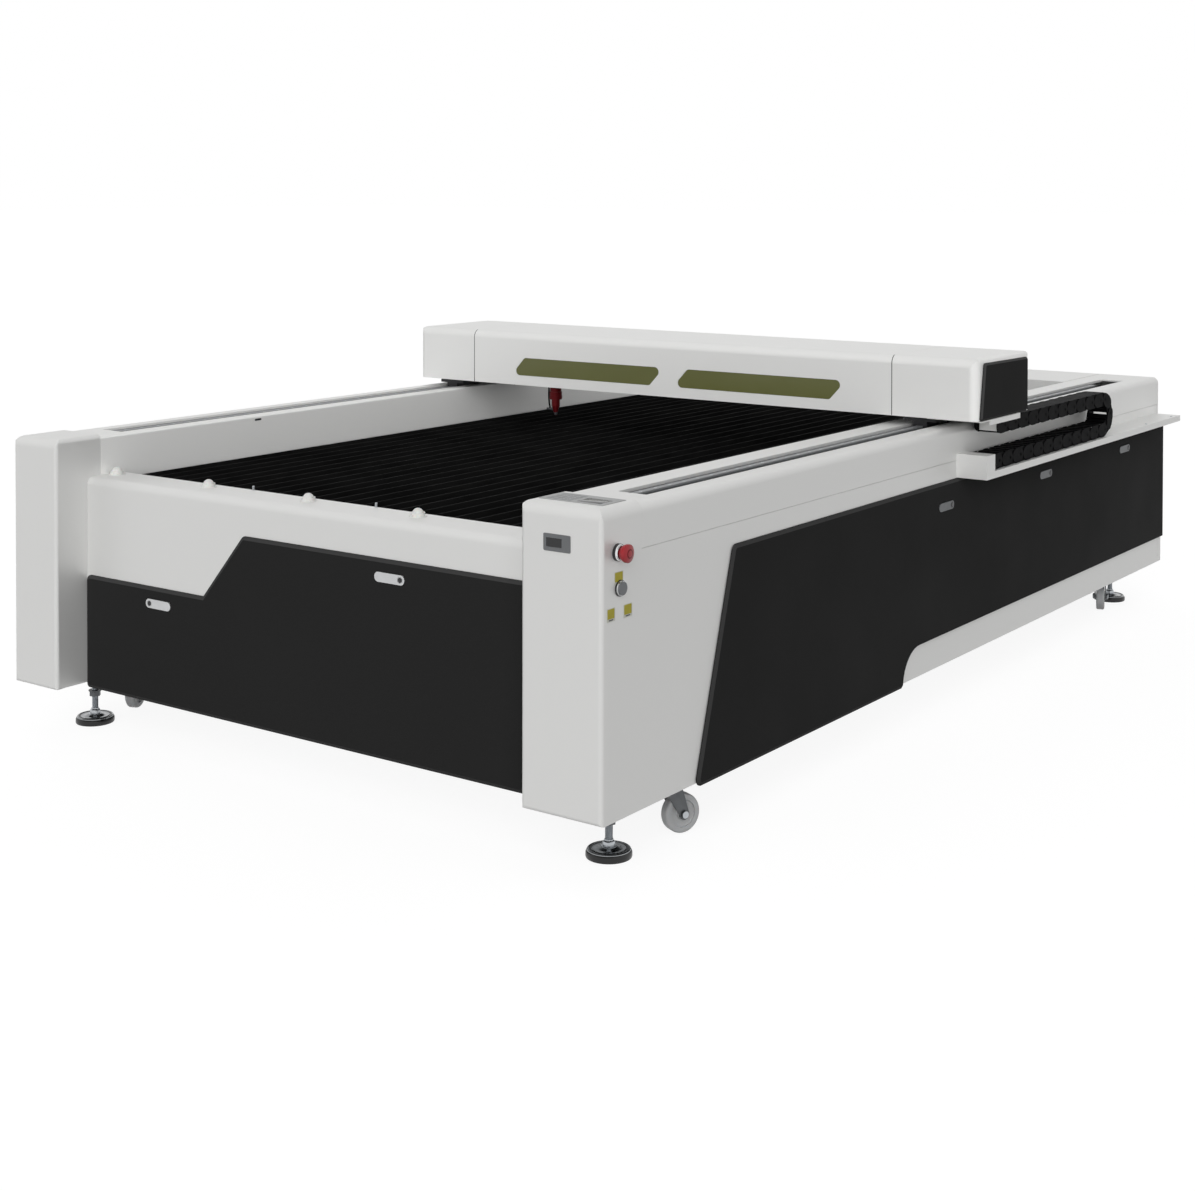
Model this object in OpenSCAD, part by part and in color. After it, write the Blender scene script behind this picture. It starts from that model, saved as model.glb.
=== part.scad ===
// Flatbed laser cutting machine: a sheet-metal body on feet and casters,
// a slatted bed between two rail housings, and a gantry that carries the
// laser tube and the cutting head over the bed.
// Millimetres. +X is to the operator's right, +Y runs from the front to the
// rear and +Z is up. The pieces are drawn from the floor up and from the
// fronts of the posts back, and placed() puts the origin on the floor, under
// the middle of the overall box.

/* [Body] */
// Width over the two front posts
body_w = 2000; // [1800:10:2400]
// Length from the posts' fronts to the rear sheet
body_l = 3490; // [3100:10:4200]
// Height of the gap between the floor and the body
floor_gap = 137; // [125:1:150]
// Height of the posts' tops above the floor
post_top = 817; // [790:1:960]
// Thickness of the covers' sheet
sheet_t = 3; // [2:0.5:4]

/* [Posts and rail housings] */
// Width of the left post and rail housing
left_w = 180; // [170:1:230]
// Width of the right post and rail housing
right_w = 220; // [200:1:260]
// Depth of the posts' tops, up to the rail housings
post_d = 150; // [120:1:200]
// How far the rail housings lie under the posts' tops
post_step = 7; // [4:1:20]
// Radius of the posts' top edges
post_r = 26; // [12:1:40]
// Radius of the posts' bottom edges
post_foot_r = 9; // [4:1:14]
// Distance of each rail channel from the middle of the machine, from its side
rail_inset = 100; // [96:1:110]
// Width of the rail channels
channel_w = 80; // [76:1:90]
// Y where the rail channels start
channel_y = 255; // [240:1:300]

/* [Bed] */
// Depth of the bed under the rail housings' tops
bed_depth = 112; // [90:1:160]
// Height of the bed bars
slat_h = 45; // [30:1:70]
// Thickness of the bed bars
slat_t = 6; // [3:0.5:10]
// Pitch of the bed bars
slat_pitch = 60; // [40:1:90]
// Number of bars across the bed that carry the others
cross_n = 6; // [4:1:9]

/* [Front] */
// Setback of the front beam behind the posts' fronts
beam_y = 104; // [80:1:140]
// Height of the front beam over the bed bars
beam_lip = 7; // [2:1:20]
// Depth of the front beam's top
beam_d = 124; // [90:1:160]
// How far the dark panels stand out of the sheets behind them
panel_proud = 8; // [6:0.5:14]
// Width of the slant edge of the dark panels
panel_edge = 9; // [4:0.5:12]

/* [Gantry] */
// Where the front of the gantry stands at rest
gantry_y = 1697; // [1500:1:1900]
// Depth of the gantry's cover
gantry_d = 362; // [340:1:420]
// Height of the gantry's cover
gantry_h = 178; // [170:1:240]
// Gap between the rail housings and the gantry's cover
gantry_gap = 25; // [20:1:40]
// How far the gantry's cover reaches past the body on the left
gantry_left = 14; // [5:1:60]
// How far it reaches past the body on the right
gantry_right = 85; // [60:1:88]
// Travel of the gantry towards the front
travel_front = 1450; // [1000:10:1450]
// Travel of the gantry towards the rear
travel_rear = 1050; // [500:10:1050]
// Where the cutting head stands along the gantry at rest
head_x = -485; // [-600:1:600]

/* [Cable chain] */
// Width of the chain's shelf beside the body
tray_w = 95; // [90:1:120]
// Width of the chain
chain_w = 72; // [60:1:80]
// Height of a link
link_h = 44; // [36:1:48]
// Bending radius of the chain, to its pins
chain_r = 50; // [46:1:60]

/* [Feet and casters] */
// Diameter of the foot pads
foot_d = 106; // [80:1:110]
// Diameter of the foot studs
stud_d = 18; // [12:1:20]
// Diameter of the caster wheels
wheel_d = 92; // [80:1:98]
// Width of the caster wheels
wheel_w = 28; // [24:1:36]
// Gap between the wheels and the floor when the machine stands on its feet
wheel_gap = 2.5; // [1:0.5:6]

/* [Hidden] */
$fn = 48;

// Small gap between pieces that fit or move on each other.
fit = 0.3;
// Radial clearance of a shaft in its bore.
run = 0.05;
// Overlap that makes a cut go cleanly through.
cut = 1;

half_w = body_w / 2;
left_in = -half_w + left_w;
right_in = half_w - right_w;
rail_top = post_top - post_step;
bed_top = rail_top - bed_depth;
beam_top = bed_top + beam_lip;
rail_x = half_w - rail_inset;

// Rear end: the housings stop short of the rear sheet, which steps in there.
housing_end = body_l - 35;
seam_z = post_top - 105;
rear_box_y = body_l - 380;

// Rails in the channels.
rail_w = 20;
rail_h = 17.5;
bar_t = 10;
rail_z = rail_top - 20;
truck_l = 300;
rail_y0 = gantry_y + 30 - travel_front - 12;
rail_y1 = min(rear_box_y - 18, gantry_y + 30 + truck_l + travel_rear + 15);

// Belt drive, beside the rails.
belt_w = 15;
belt_t = 3;
pulley_r = 50;
belt_off = 30;
belt_z = rail_z - 39;
idler_y = channel_y - pulley_r - belt_t - 6;
shaft_y = body_l - 338;
shaft_r = 10;

// Gantry.
gantry_z = rail_top + gantry_gap;
gantry_top = gantry_z + gantry_h;
gantry_x0 = -half_w - gantry_left;
gantry_x1 = half_w + gantry_right;
gantry_r = 26;
cover_t = 3;
seam_left = gantry_x0 + 246;
seam_right = gantry_x1 - 267;
seam_gap = 1;
vent_t = 8;
truck_y = gantry_y + 30;
beam_w = 100;
beam_h = 120;
beam_wall = 6;
beam_front = gantry_y + 163;
beam_z = rail_z + 40;
x_rail_z = beam_z + 62;
x_rail_size = 15;
head_y = gantry_y + 88;
tube_d = 80;
tube_y = beam_front + beam_w + 50;
tube_z = gantry_z + 84;
window_h = 59;
window_w = 556;
window_lean = 27;
window_z = gantry_z + 33;
window_gap = 97;

// Cable chain. Four links make the half turn.
turn_links = 4;
link_angle = 180 / turn_links;
link_pitch = 2 * chain_r * sin(link_angle / 2);
end_links = 2;
tray_y0 = gantry_y + 53;
tray_y1 = tray_y0 + 1665;
tray_lip = 20;
tray_box_l = 56;
chain_x = half_w + 14 + chain_w / 2;
chain_bottom = beam_z - 1 - link_h - 2 * chain_r;
tray_z = chain_bottom - 2;
loop_y = gantry_y + 1003;
loop_z = chain_bottom + link_h / 2 + chain_r;
plate_t = 3;
lower_links = floor((loop_y - tray_y0 - tray_box_l) / link_pitch);
upper_links = ceil((loop_y - gantry_y - 164) / link_pitch) - end_links;

// The lower parts of the sides and of the rear end under the chain's shelf.
shoulder_z = min(post_top - 155, tray_z - tray_lip - 1);

// Dark panels.
panel_bottom = floor_gap - 9;
panel_top = shoulder_z;
front_low = panel_top - 224;
front_high = panel_top - 50;
front_step = [-0.1755 * body_w, -0.101 * body_w];
side_slant = [361, 523];
skirt_z = floor_gap + 91;
skirt_y = 1498;
skirt_r = skirt_z - panel_bottom;
panel_t = panel_proud - fit;
panel_slant = panel_t - 3;
panel_r = 18;
panel_gap = 2;

// Latches, each a pill-shaped flap in a dish pressed into its panel.
latch_w = 96;
latch_h = 24;
latch_t = 5;
latch_gap = 1.6;
dish_d = 16;
dish_wall = 2;
side_latch_z = panel_top - 70;
side_latch_y = [skirt_y + 169, (skirt_y + 169 + body_l - 397) / 2 + 13, body_l - 397];
front_latch_left = [-0.26 * body_w, front_low - 44];
front_latch_right = [0.1525 * body_w, front_high - 44];

// Feet and casters: [x, y] of each, and the swivel of each caster.
feet = [[-half_w + 112, 183], [half_w - 112, 183],
        [-half_w + 135, body_l - 146], [half_w - 135, body_l - 146]];
trail = 35;
casters = [[-half_w + 81, 372], [half_w - 81, 372],
           [-half_w + 91, body_l - 357], [half_w - 91, body_l - 357]];
swivels = [205, -25, 35, 20];
wheel_z = wheel_d / 2 + wheel_gap;
plate_z = floor_gap - 5;

// Frame.
tube_s = 60;
tube_wall = 4;
leg_w = 80;
weld_gap = 0.1;
caster_boss_r = 14;
caster_boss_h = 25;
frame_x = half_w - sheet_t;
leg_x = frame_x - leg_w;
ledge_x = leg_x - tube_s;
frame_z = floor_gap + 3;
bar_z = rail_z - bar_t;
rail_beam_w = 100;
rail_beam_h = 100;
bays = [153, 0.33 * body_l, 0.645 * body_l, body_l - 176];

// Overall box, which fixes the origin.
bezel_proud = 1.5;
spigot_l = 50;
x_mid = (gantry_x0 + half_w + tray_w) / 2;
y_mid = (body_l + spigot_l - bezel_proud) / 2;

module placed() translate([-x_mid, -y_mid, 0]) children();

// ---- Shapes ----

// Rectangle from [0, 0] to [w, h] whose two top corners are rounded.
module arched(w, h, r1, r2) {
  translate([r1, 0]) square([w - r1 - r2, h]);
  square([w / 2, h - r1]);
  translate([w / 2, 0]) square([w / 2, h - r2]);
  if (r1 > 0) translate([r1, h - r1]) circle(r1);
  if (r2 > 0) translate([w - r2, h - r2]) circle(r2);
}

// Rectangle from [0, 0] to [w, h] with a radius of its own at each corner: left
// and right at the top, left and right at the bottom.
module four_cornered(w, h, radii) for (i = [0:3]) {
  r = radii[i];
  right = i % 2;
  top = i < 2 ? 1 : 0;
  translate([right * w / 2 + (1 - right) * r, top * h / 2]) square([w / 2 - r, h / 2]);
  translate([right * w / 2, top * h / 2 + (1 - top) * r]) square([w / 2, h / 2 - r]);
  if (r > 0) translate([right ? w - r : r, top ? h - r : r]) circle(r);
}

// Rectangle with four round corners.
module rounded(w, h, r) {
  translate([r, 0]) square([w - 2 * r, h]);
  translate([0, r]) square([w, h - 2 * r]);
  for (x = [r, w - r], y = [r, h - r]) translate([x, y]) circle(r);
}

// Pill centred on the origin, its length along x.
module pill(w, h) translate([-w / 2, -h / 2]) rounded(w, h, h / 2 - 0.01);

// Extrusions of a profile along x, drawn in (y, z), and along y, in (x, z).
module along_x(x0, x1) translate([x0, 0, 0]) rotate([90, 0, 90])
  linear_extrude(x1 - x0) children();
module along_y(y0, y1) translate([0, y1, 0]) rotate([90, 0, 0])
  linear_extrude(y1 - y0) children();

// Box between two corners.
module box(a, b) translate(a) cube(b - a);

// Square tube between two corners, hollow along one axis (0, 1 or 2).
module tube(a, b, axis, wall = tube_wall) {
  w = [for (i = [0:2]) i == axis ? -cut : wall];
  difference() {
    box(a, b);
    box(a + w, b - w);
  }
}

// Plate with its face at z = 0, a convex outline, corners of radius r and a
// slant edge of width w and depth d round its face.
module slant_plate(points, r, t, w, d) translate([0, 0, -t]) hull() {
  linear_extrude(t - d) offset(r) offset(delta = -r) polygon(points);
  linear_extrude(t) offset(r - w) offset(delta = -r) polygon(points);
}

// ---- Body ----

// Solid form of a post, from x0 to x1 and from y0 back, with the radii of its
// top edges. Its bottom is round at the front edge and at the inner corner.
module post_form(x0, x1, y0, z0, top, r1, r2, foot_r) {
  h = top - z0;
  w = x1 - x0;
  d = post_d - y0;
  right = x0 > 0;
  intersection() {
    translate([0, 0, z0]) along_y(y0, post_d) translate([x0, 0])
      four_cornered(w, h, [r1, r2, right ? foot_r : 0, right ? 0 : foot_r]);
    along_x(x0, x1) translate([y0, z0]) four_cornered(d, h, [post_r, 0, foot_r, 0]);
    translate([x0, post_d, z0]) mirror([0, 1, 0]) linear_extrude(h) arched(w, d, 10, 10);
  }
}

// Post folded from sheet, open at the rear and, behind a lip, at the bottom.
module post_shell(x0, x1, r1, r2) {
  t = sheet_t;
  lip = 12;
  difference() {
    post_form(x0, x1, 0, floor_gap, post_top, r1, r2, post_foot_r);
    translate([0, cut, 0]) post_form(x0 + t, x1 - t, t, floor_gap + t, post_top - t,
                                     r1 - t, r2 - t, post_foot_r - t);
    translate([0, 2 * cut, 0]) post_form(x0 + t, x1 - t, t + lip, floor_gap - cut,
                                         post_top - t, r1 - t, r2 - t, 0);
  }
}

// Side sheet of a post, which runs back behind the dark side panel, below
// the rail housing. x is its outer face and s points outwards.
module post_side(x, s) {
  a = min(x, x - s * sheet_t);
  along_x(a, a + sheet_t) polygon([
    [post_d, floor_gap], [side_slant[0] + 60, floor_gap],
    [side_slant[1] + 40, seam_z], [post_d, seam_z]]);
}

module left_post_cover() color("gainsboro") {
  post_shell(-half_w, left_in, post_r, 12);
  post_side(-half_w, -1);
}

panel_pos = [half_w - 205, 44];
panel_size = [175, 90];
display_pos = [half_w - 156, post_top - 102];
display_size = [73, 38];
estop_pos = [57, post_top - 98];
button_pos = [66, post_top - 177];
estop_hole = 11;
button_hole = 9.5;

module right_post_cover() color("gainsboro") difference() {
  union() {
    post_shell(right_in, half_w, 12, post_r);
    post_side(half_w, 1);
  }
  translate([panel_pos[0], panel_pos[1], post_top - 2 * sheet_t])
    cube([panel_size[0], panel_size[1], 3 * sheet_t]);
  translate([display_pos[0] + 3, -cut, display_pos[1] + 3])
    cube([display_size[0] - 6, sheet_t + 2 * cut, display_size[1] - 6]);
  for (p = [[estop_pos, estop_hole], [button_pos, button_hole]])
    translate([half_w - sheet_t - cut, p[0][0], p[0][1]]) rotate([0, 90, 0])
      cylinder(sheet_t + 2 * cut, r = p[1]);
}

// Outline of the front panel in (x, z), grown by g.
function front_outline(g) = [
  [left_in + panel_gap - g, panel_bottom - g],
  [right_in - panel_gap + g, panel_bottom - g],
  [right_in - panel_gap + g, front_high + g],
  [front_step[1] - 0.35 * g, front_high + g],
  [front_step[0] - 0.35 * g, front_low + g],
  [left_in + panel_gap - g, front_low + g],
];

module front_beam_cover() color("gainsboro") difference() {
  z0 = floor_gap + 5;
  h = beam_top - z0;
  r = 22;
  x0 = left_in + fit;
  x1 = right_in - fit;
  along_x(x0, x1) translate([beam_y + beam_d, z0]) mirror([1, 0])
    arched(beam_d, h, 6, r);
  along_x(x0 - cut, x1 + cut)
    translate([beam_y + beam_d - sheet_t, z0 - cut]) mirror([1, 0])
      arched(beam_d - 2 * sheet_t, h - sheet_t + cut, 3, r - sheet_t);
  box([x0 - cut, beam_y + 50, z0 - cut], [x1 + cut, beam_y + beam_d + cut, beam_top - 60]);
  along_y(beam_y - cut, beam_y + sheet_t + cut) polygon(front_outline(-24));
  for (i = [0:4]) translate([ball_x(i), ball_y, beam_top - 2 * sheet_t])
    cylinder(3 * sheet_t, r = cup_r);
}

// Rear sheet: a wide lower part and, between the housings, a box over the
// drive shaft that rises to the housings' tops.
module rear_cover() color("gainsboro") {
  t = sheet_t;
  z1 = shoulder_z - t - weld_gap;
  difference() {
    box([-half_w, body_l - t, floor_gap], [half_w, body_l, z1]);
    for (x = spigot_x) translate([x, body_l - t - cut, spigot_z]) rotate([-90, 0, 0])
      cylinder(t + 2 * cut, r = spigot_r + 1);
    translate([gland_pos[0], body_l - t - cut, gland_pos[1]]) rotate([-90, 0, 0])
      cylinder(t + 2 * cut, r = gland_r + run);
    for (x = vent_x, i = [0:vent_n - 1])
      translate([x, body_l, vent_z + i * vent_pitch]) rotate([90, 0, 0])
        translate([0, 0, -cut]) linear_extrude(t + 2 * cut) pill(vent_w, 8);
  }
  for (s = [-1, 1]) box([s > 0 ? half_w - t : -half_w, body_l - 30, floor_gap],
                        [s > 0 ? half_w : -half_w + t, body_l - t - weld_gap, z1]);
  box([-half_w, housing_end, shoulder_z - t], [half_w, body_l, shoulder_z]);
  along_x(left_in + fit, right_in - fit) polygon([
    [housing_end - t, shoulder_z - t], [housing_end - t, rail_top - t],
    [rear_box_y + t, rail_top - t], [rear_box_y + t, bed_top - slat_h],
    [rear_box_y, bed_top - slat_h], [rear_box_y, rail_top],
    [housing_end, rail_top], [housing_end, shoulder_z - t]]);
  cable_gland();
}

spigot_r = 75;
spigot_x = [-430, 330];
spigot_z = floor_gap + 190;
gland_pos = [half_w - 120, floor_gap + 90];
gland_r = 16;
vent_x = [-0.36 * body_w, 0.36 * body_w];
vent_n = 9;
vent_w = 220;
vent_pitch = 22;
vent_z = floor_gap + 255;

// Cable gland of the mains lead: a body with a hexagon and a domed nut.
module cable_gland() translate([gland_pos[0], body_l - sheet_t - 10, gland_pos[1]])
  rotate([-90, 0, 0]) difference() {
    union() {
      cylinder(10 + sheet_t + 8, r = gland_r);
      translate([0, 0, 10 + sheet_t]) cylinder(7, r = 21, $fn = 6);
      translate([0, 0, 10 + sheet_t + 7]) cylinder(12, r1 = 18, r2 = 14);
    }
    translate([0, 0, -cut]) cylinder(15 + cut, r = 10);
    cylinder(40, r = 8);
  }

// Rail housing between its inner wall xi and its outer wall xo.
module rail_housing(xi, xo) {
  t = sheet_t;
  x0 = min(xi, xo);
  x1 = max(xi, xo);
  right = xo > 0;
  r1 = right ? 6 : 20;
  r2 = right ? 20 : 6;
  y0 = post_d + fit;
  z0 = seam_z + 0.8;
  zin = bed_top - 24;
  cx = right ? rail_x : -rail_x;
  c0 = cx - channel_w / 2;
  c1 = cx + channel_w / 2;
  difference() {
    union() {
      difference() {
        translate([0, 0, z0]) along_y(y0, housing_end) translate([x0, 0])
          arched(x1 - x0, rail_top - z0, r1, r2);
        translate([0, 0, z0 - cut]) along_y(y0 + t, housing_end - t) translate([x0 + t, 0])
          arched(x1 - x0 - 2 * t, rail_top - t - z0 + cut, r1 - t, r2 - t);
      }
      box([right ? xi : xi - t, y0, zin], [right ? xi + t : xi, housing_end, z0 + cut]);
      // Rear end below the seam, down to the shoulder of the rear sheet.
      box([x0, housing_end - t, shoulder_z + fit], [x1, housing_end, z0 + cut]);
      box([right ? xo - t : xo, housing_end - 12, shoulder_z + fit],
          [right ? xo : xo + t, housing_end, z0 + cut]);
      // Folded edges of the channel.
      for (x = [c0 - t, c1]) box([x, channel_y - t, rail_top - 8],
                                 [x + t, channel_y1 + t, rail_top - cut]);
      for (y = [channel_y - t, channel_y1]) box([c0 - t, y, rail_top - 5],
                                                [c1 + t, y + t, rail_top - cut]);
    }
    box([c0, channel_y, rail_top - 2 * t], [c1, channel_y1, rail_top + cut]);
    // The front wall is open where the belt turns behind the post, and the
    // inner wall where the drive shaft passes.
    box([c0 - 15, y0 - cut, z0 - 2 * cut], [c1 + 15, y0 + t + cut, rail_top - 6]);
    translate([right ? xi - cut : xi - t - cut, shaft_y, belt_z]) rotate([0, 90, 0])
      cylinder(t + 2 * cut, r = shaft_r + 4);
  }
}
channel_y1 = shaft_y + 110;

module left_rail_housing() color("gainsboro") rail_housing(left_in, -half_w);
module right_rail_housing() color("gainsboro") rail_housing(right_in, half_w);

// Side sheets below the housings, cut out behind the panels between the legs.
module side_sheet(s) {
  x = s > 0 ? half_w - sheet_t : -half_w;
  y1 = body_l - 31;
  difference() {
    union() {
      along_x(x, x + sheet_t) polygon([
        [side_slant[0] + 60.4, floor_gap], [y1, floor_gap], [y1, shoulder_z - 4],
        [housing_end - 14, shoulder_z - 4], [housing_end - 14, seam_z],
        [side_slant[1] + 40.4, seam_z]]);
      box([s > 0 ? x - 22 : x, side_slant[0] + 61, floor_gap],
          [s > 0 ? x + sheet_t : x + sheet_t + 22, y1, floor_gap + sheet_t - fit]);
    }
    for (i = [0:2]) {
      a = bays[i] + tube_s + (i == 0 ? 420 : 20);
      b = bays[i + 1] - 40;
      box([x - cut, a, skirt_z + 40], [x + sheet_t + cut, b, side_latch_z + 30]);
    }
  }
}
module side_sheets() color("gainsboro") {
  side_sheet(-1);
  side_sheet(1);
}

// Welded frame, laid out as its tubes with a weld gap between them: long tubes
// at the bottom, legs, ledges for the bed, cross tubes and two rail beams, with
// bosses for the feet, plates for the casters and plates for the drive shafts.
module base_frame() color("silver") {
  for (s = [-1, 1]) {
    x0 = s > 0 ? leg_x : -frame_x;
    x1 = x0 + leg_w;
    difference() {
      tube([x0, 30, frame_z], [x1, body_l - 40, frame_z + tube_s], 1);
      for (c = casters) translate([c[0], c[1], frame_z - cut])
        cylinder(caster_boss_h + cut, r = caster_boss_r + weld_gap);
    }
    for (y = bays) tube([x0, y, frame_z + tube_s + weld_gap],
                        [x1, y + tube_s, bar_z - rail_beam_h - weld_gap], 2);
    tube([s > 0 ? ledge_x : -leg_x + weld_gap, 165, ledge_z - tube_s],
         [s > 0 ? leg_x - weld_gap : -ledge_x, body_l - 60, ledge_z], 1);
    difference() {
      tube([s * rail_x - rail_beam_w / 2, beam_y0, bar_z - rail_beam_h],
           [s * rail_x + rail_beam_w / 2, housing_end - 20, bar_z], 1);
      for (y = [idler_y, shaft_y]) {
        pulley_slot(s, y);
        shaft_bore(s, y);
      }
    }
    for (y = [idler_y, shaft_y]) difference() {
      drive_plates(s, y);
      shaft_bore(s, y);
    }
  }
  for (i = [0:3]) difference() {
    union() {
      tube([-leg_x + weld_gap, bays[i], frame_z],
           [leg_x - weld_gap, bays[i] + tube_s, frame_z + tube_s], 0);
      for (p = feet) if (abs(p[1] - bays[i] - tube_s / 2) < tube_s / 2)
        translate([p[0], p[1], floor_gap - 3]) cylinder(tube_s + 6, r = 20);
    }
    for (p = feet) translate([p[0], p[1], floor_gap - 4])
      cylinder(tube_s + 8, r = stud_d / 2 + run);
  }
  tube([-ledge_x + weld_gap, shaft_y - tube_s / 2, ledge_z - tube_s],
       [ledge_x - weld_gap, shaft_y + tube_s / 2, ledge_z], 0);
  for (c = casters) translate([c[0], c[1], plate_z]) difference() {
    union() {
      translate([-52, -55, 0]) cube([104, 110, frame_z - plate_z - weld_gap]);
      cylinder(frame_z - plate_z + caster_boss_h - weld_gap, r = caster_boss_r);
    }
    translate([0, 0, -cut]) cylinder(tube_s, r = stem_r + run);
  }
}

// Way of a pulley shaft through a rail beam and its plates.
module shaft_bore(s, y) translate([s * rail_x - rail_beam_w / 2 - 9, y, belt_z])
  rotate([0, 90, 0]) cylinder(rail_beam_w + 18, r = shaft_r + run);

// Opening in a rail beam that a pulley and its belt come up through.
module pulley_slot(s, y) box(
  [s * (rail_x + belt_off) - 13, y - pulley_r - 8, bar_z - rail_beam_h + tube_wall + cut],
  [s * (rail_x + belt_off) + 13, y + pulley_r + 8, bar_z + cut]);

// Plates on both sides of a rail beam that carry a pulley shaft.
module drive_plates(s, y)
  for (x = [s * rail_x - rail_beam_w / 2 - 8, s * rail_x + rail_beam_w / 2 + weld_gap])
    box([x, y - 40, bar_z - rail_beam_h], [x + 8 - weld_gap, y + 40, bar_z]);

ledge_z = bed_top - slat_h - 40;
beam_y0 = idler_y - 45;
stem_r = 8;

// ---- Panels and latches ----

// Plate, given as children with its face at z = 0, with dishes for latches.
module dished(latches) difference() {
  union() {
    children();
    for (p = latches) translate([p[0], p[1], -dish_d])
      linear_extrude(dish_d - 1) pill(latch_w + 2 * (latch_gap + dish_wall),
                                      latch_h + 2 * (latch_gap + dish_wall));
  }
  for (p = latches) translate([p[0], p[1], dish_wall - dish_d])
    linear_extrude(dish_d) pill(latch_w + 2 * latch_gap, latch_h + 2 * latch_gap);
}

// The front panel's outline is a low rectangle and a taller piece whose
// slanting side runs on down to the panel's lower edge.
module front_access_panel() color([0.18, 0.18, 0.18])
  translate([0, beam_y - panel_proud, 0]) rotate([90, 0, 0])
    dished([front_latch_left, front_latch_right]) {
      x0 = left_in + panel_gap;
      x1 = right_in - panel_gap;
      slope = (front_step[1] - front_step[0]) / (front_high - front_low);
      front_plate([[x0, panel_bottom], [x1, panel_bottom], [x1, front_low], [x0, front_low]]);
      front_plate([[x0, panel_bottom], [x0 + 80, panel_bottom], [x0 + 80, front_low - 40],
                   [x0, front_low - 40]], 10);
      front_plate([[front_step[0] - slope * (front_low - panel_bottom), panel_bottom],
                   [x1, panel_bottom], [x1, front_high], [front_step[1], front_high]]);
    }
module front_plate(points, r = panel_r)
  slant_plate(points, r, panel_t, panel_edge, panel_slant);

// Side panel seen from outside, in (y, z).
module side_panel_flat() dished([for (y = side_latch_y) [y, side_latch_z]]) difference() {
  slant_plate([[side_slant[0], panel_bottom], [body_l + 10, panel_bottom],
               [body_l + 10, panel_top], [side_slant[1], panel_top]],
              panel_r, panel_t, panel_edge, panel_slant);
  translate([0, 0, -panel_t - cut]) linear_extrude(panel_t + 2 * cut) {
    translate([skirt_y, panel_bottom - cut])
      square([body_l + 10 + cut - skirt_y, skirt_z - panel_bottom + cut]);
    translate([skirt_y, panel_bottom]) circle(skirt_r);
  }
}

module right_side_panel() color([0.16, 0.16, 0.16])
  translate([half_w + panel_proud, 0, 0]) rotate([90, 0, 90]) side_panel_flat();
module left_side_panel() color([0.16, 0.16, 0.16]) mirror([1, 0, 0])
  translate([half_w + panel_proud, 0, 0]) rotate([90, 0, 90]) side_panel_flat();

// Flap latch in its plane: a pill with a round lock barrel at one end and a
// hinge pin along its upper edge. s is the end that the lock is at.
latch_pin = latch_w / 2 - 4.6;
barrel_l = 5.8;
module latch(s) {
  difference() {
    translate([0, 0, 1.5 - latch_t]) linear_extrude(latch_t) pill(latch_w, latch_h);
    translate([s * 34, 0, 0]) difference() {
      cylinder(3, r = 8.5);
      translate([0, 0, -cut]) cylinder(5, r = 7);
    }
  }
  translate([s * 34, 0, -barrel_l - 1]) cylinder(barrel_l, r = 7);
  translate([-latch_pin, latch_h / 2 - 2, -1]) rotate([0, 90, 0]) cylinder(2 * latch_pin, r = 1.2);
}
module front_latch_at(p, s) translate([p[0], beam_y - panel_proud, p[1]])
  rotate([90, 0, 0]) latch(s);
module front_latch_left() color("lightgray") front_latch_at(front_latch_left, -1);
module front_latch_right() color("lightgray") front_latch_at(front_latch_right, 1);
module side_latch_set(s) for (y = side_latch_y)
  translate([half_w + panel_proud, y, side_latch_z]) rotate([90, 0, 90]) latch(s);
module right_side_latches() color("lightgray") side_latch_set(1);
module left_side_latches() color("lightgray") mirror([1, 0, 0]) side_latch_set(1);

// ---- Bed ----

slat_y0 = beam_y + beam_d + 8;
slat_y1 = rear_box_y - 6;
bed_x0 = left_in + sheet_t + 6;
bed_x1 = right_in - sheet_t - 6;
slat_n = floor((bed_x1 - bed_x0 - 20) / slat_pitch);
slat_x0 = (bed_x0 + bed_x1 - (slat_n - 1) * slat_pitch) / 2;
notch = 20;
cross_t = 8;

module bed_slats() color([0.1, 0.1, 0.1]) for (i = [0:slat_n - 1])
  box([slat_x0 + i * slat_pitch - slat_t / 2, slat_y0, bed_top - slat_h],
      [slat_x0 + i * slat_pitch + slat_t / 2, slat_y1, bed_top]);

// Cross bars on the frame's ledges, notched to hold the bed bars upright.
module bed_cross_bars() color([0.12, 0.12, 0.12]) for (k = [0:cross_n - 1]) {
  y = slat_y0 + 90 + k * (slat_y1 - slat_y0 - 180) / (cross_n - 1);
  z1 = bed_top - slat_h + notch;
  x1 = frame_x - leg_w - 20;
  difference() {
    box([-x1, y, ledge_z], [x1, y + cross_t, z1]);
    for (i = [0:slat_n - 1]) translate([slat_x0 + i * slat_pitch - slat_t / 2 - fit, y - cut,
                                        z1 - notch])
      cube([slat_t + 2 * fit, cross_t + 2 * cut, notch + cut]);
  }
}

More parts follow.
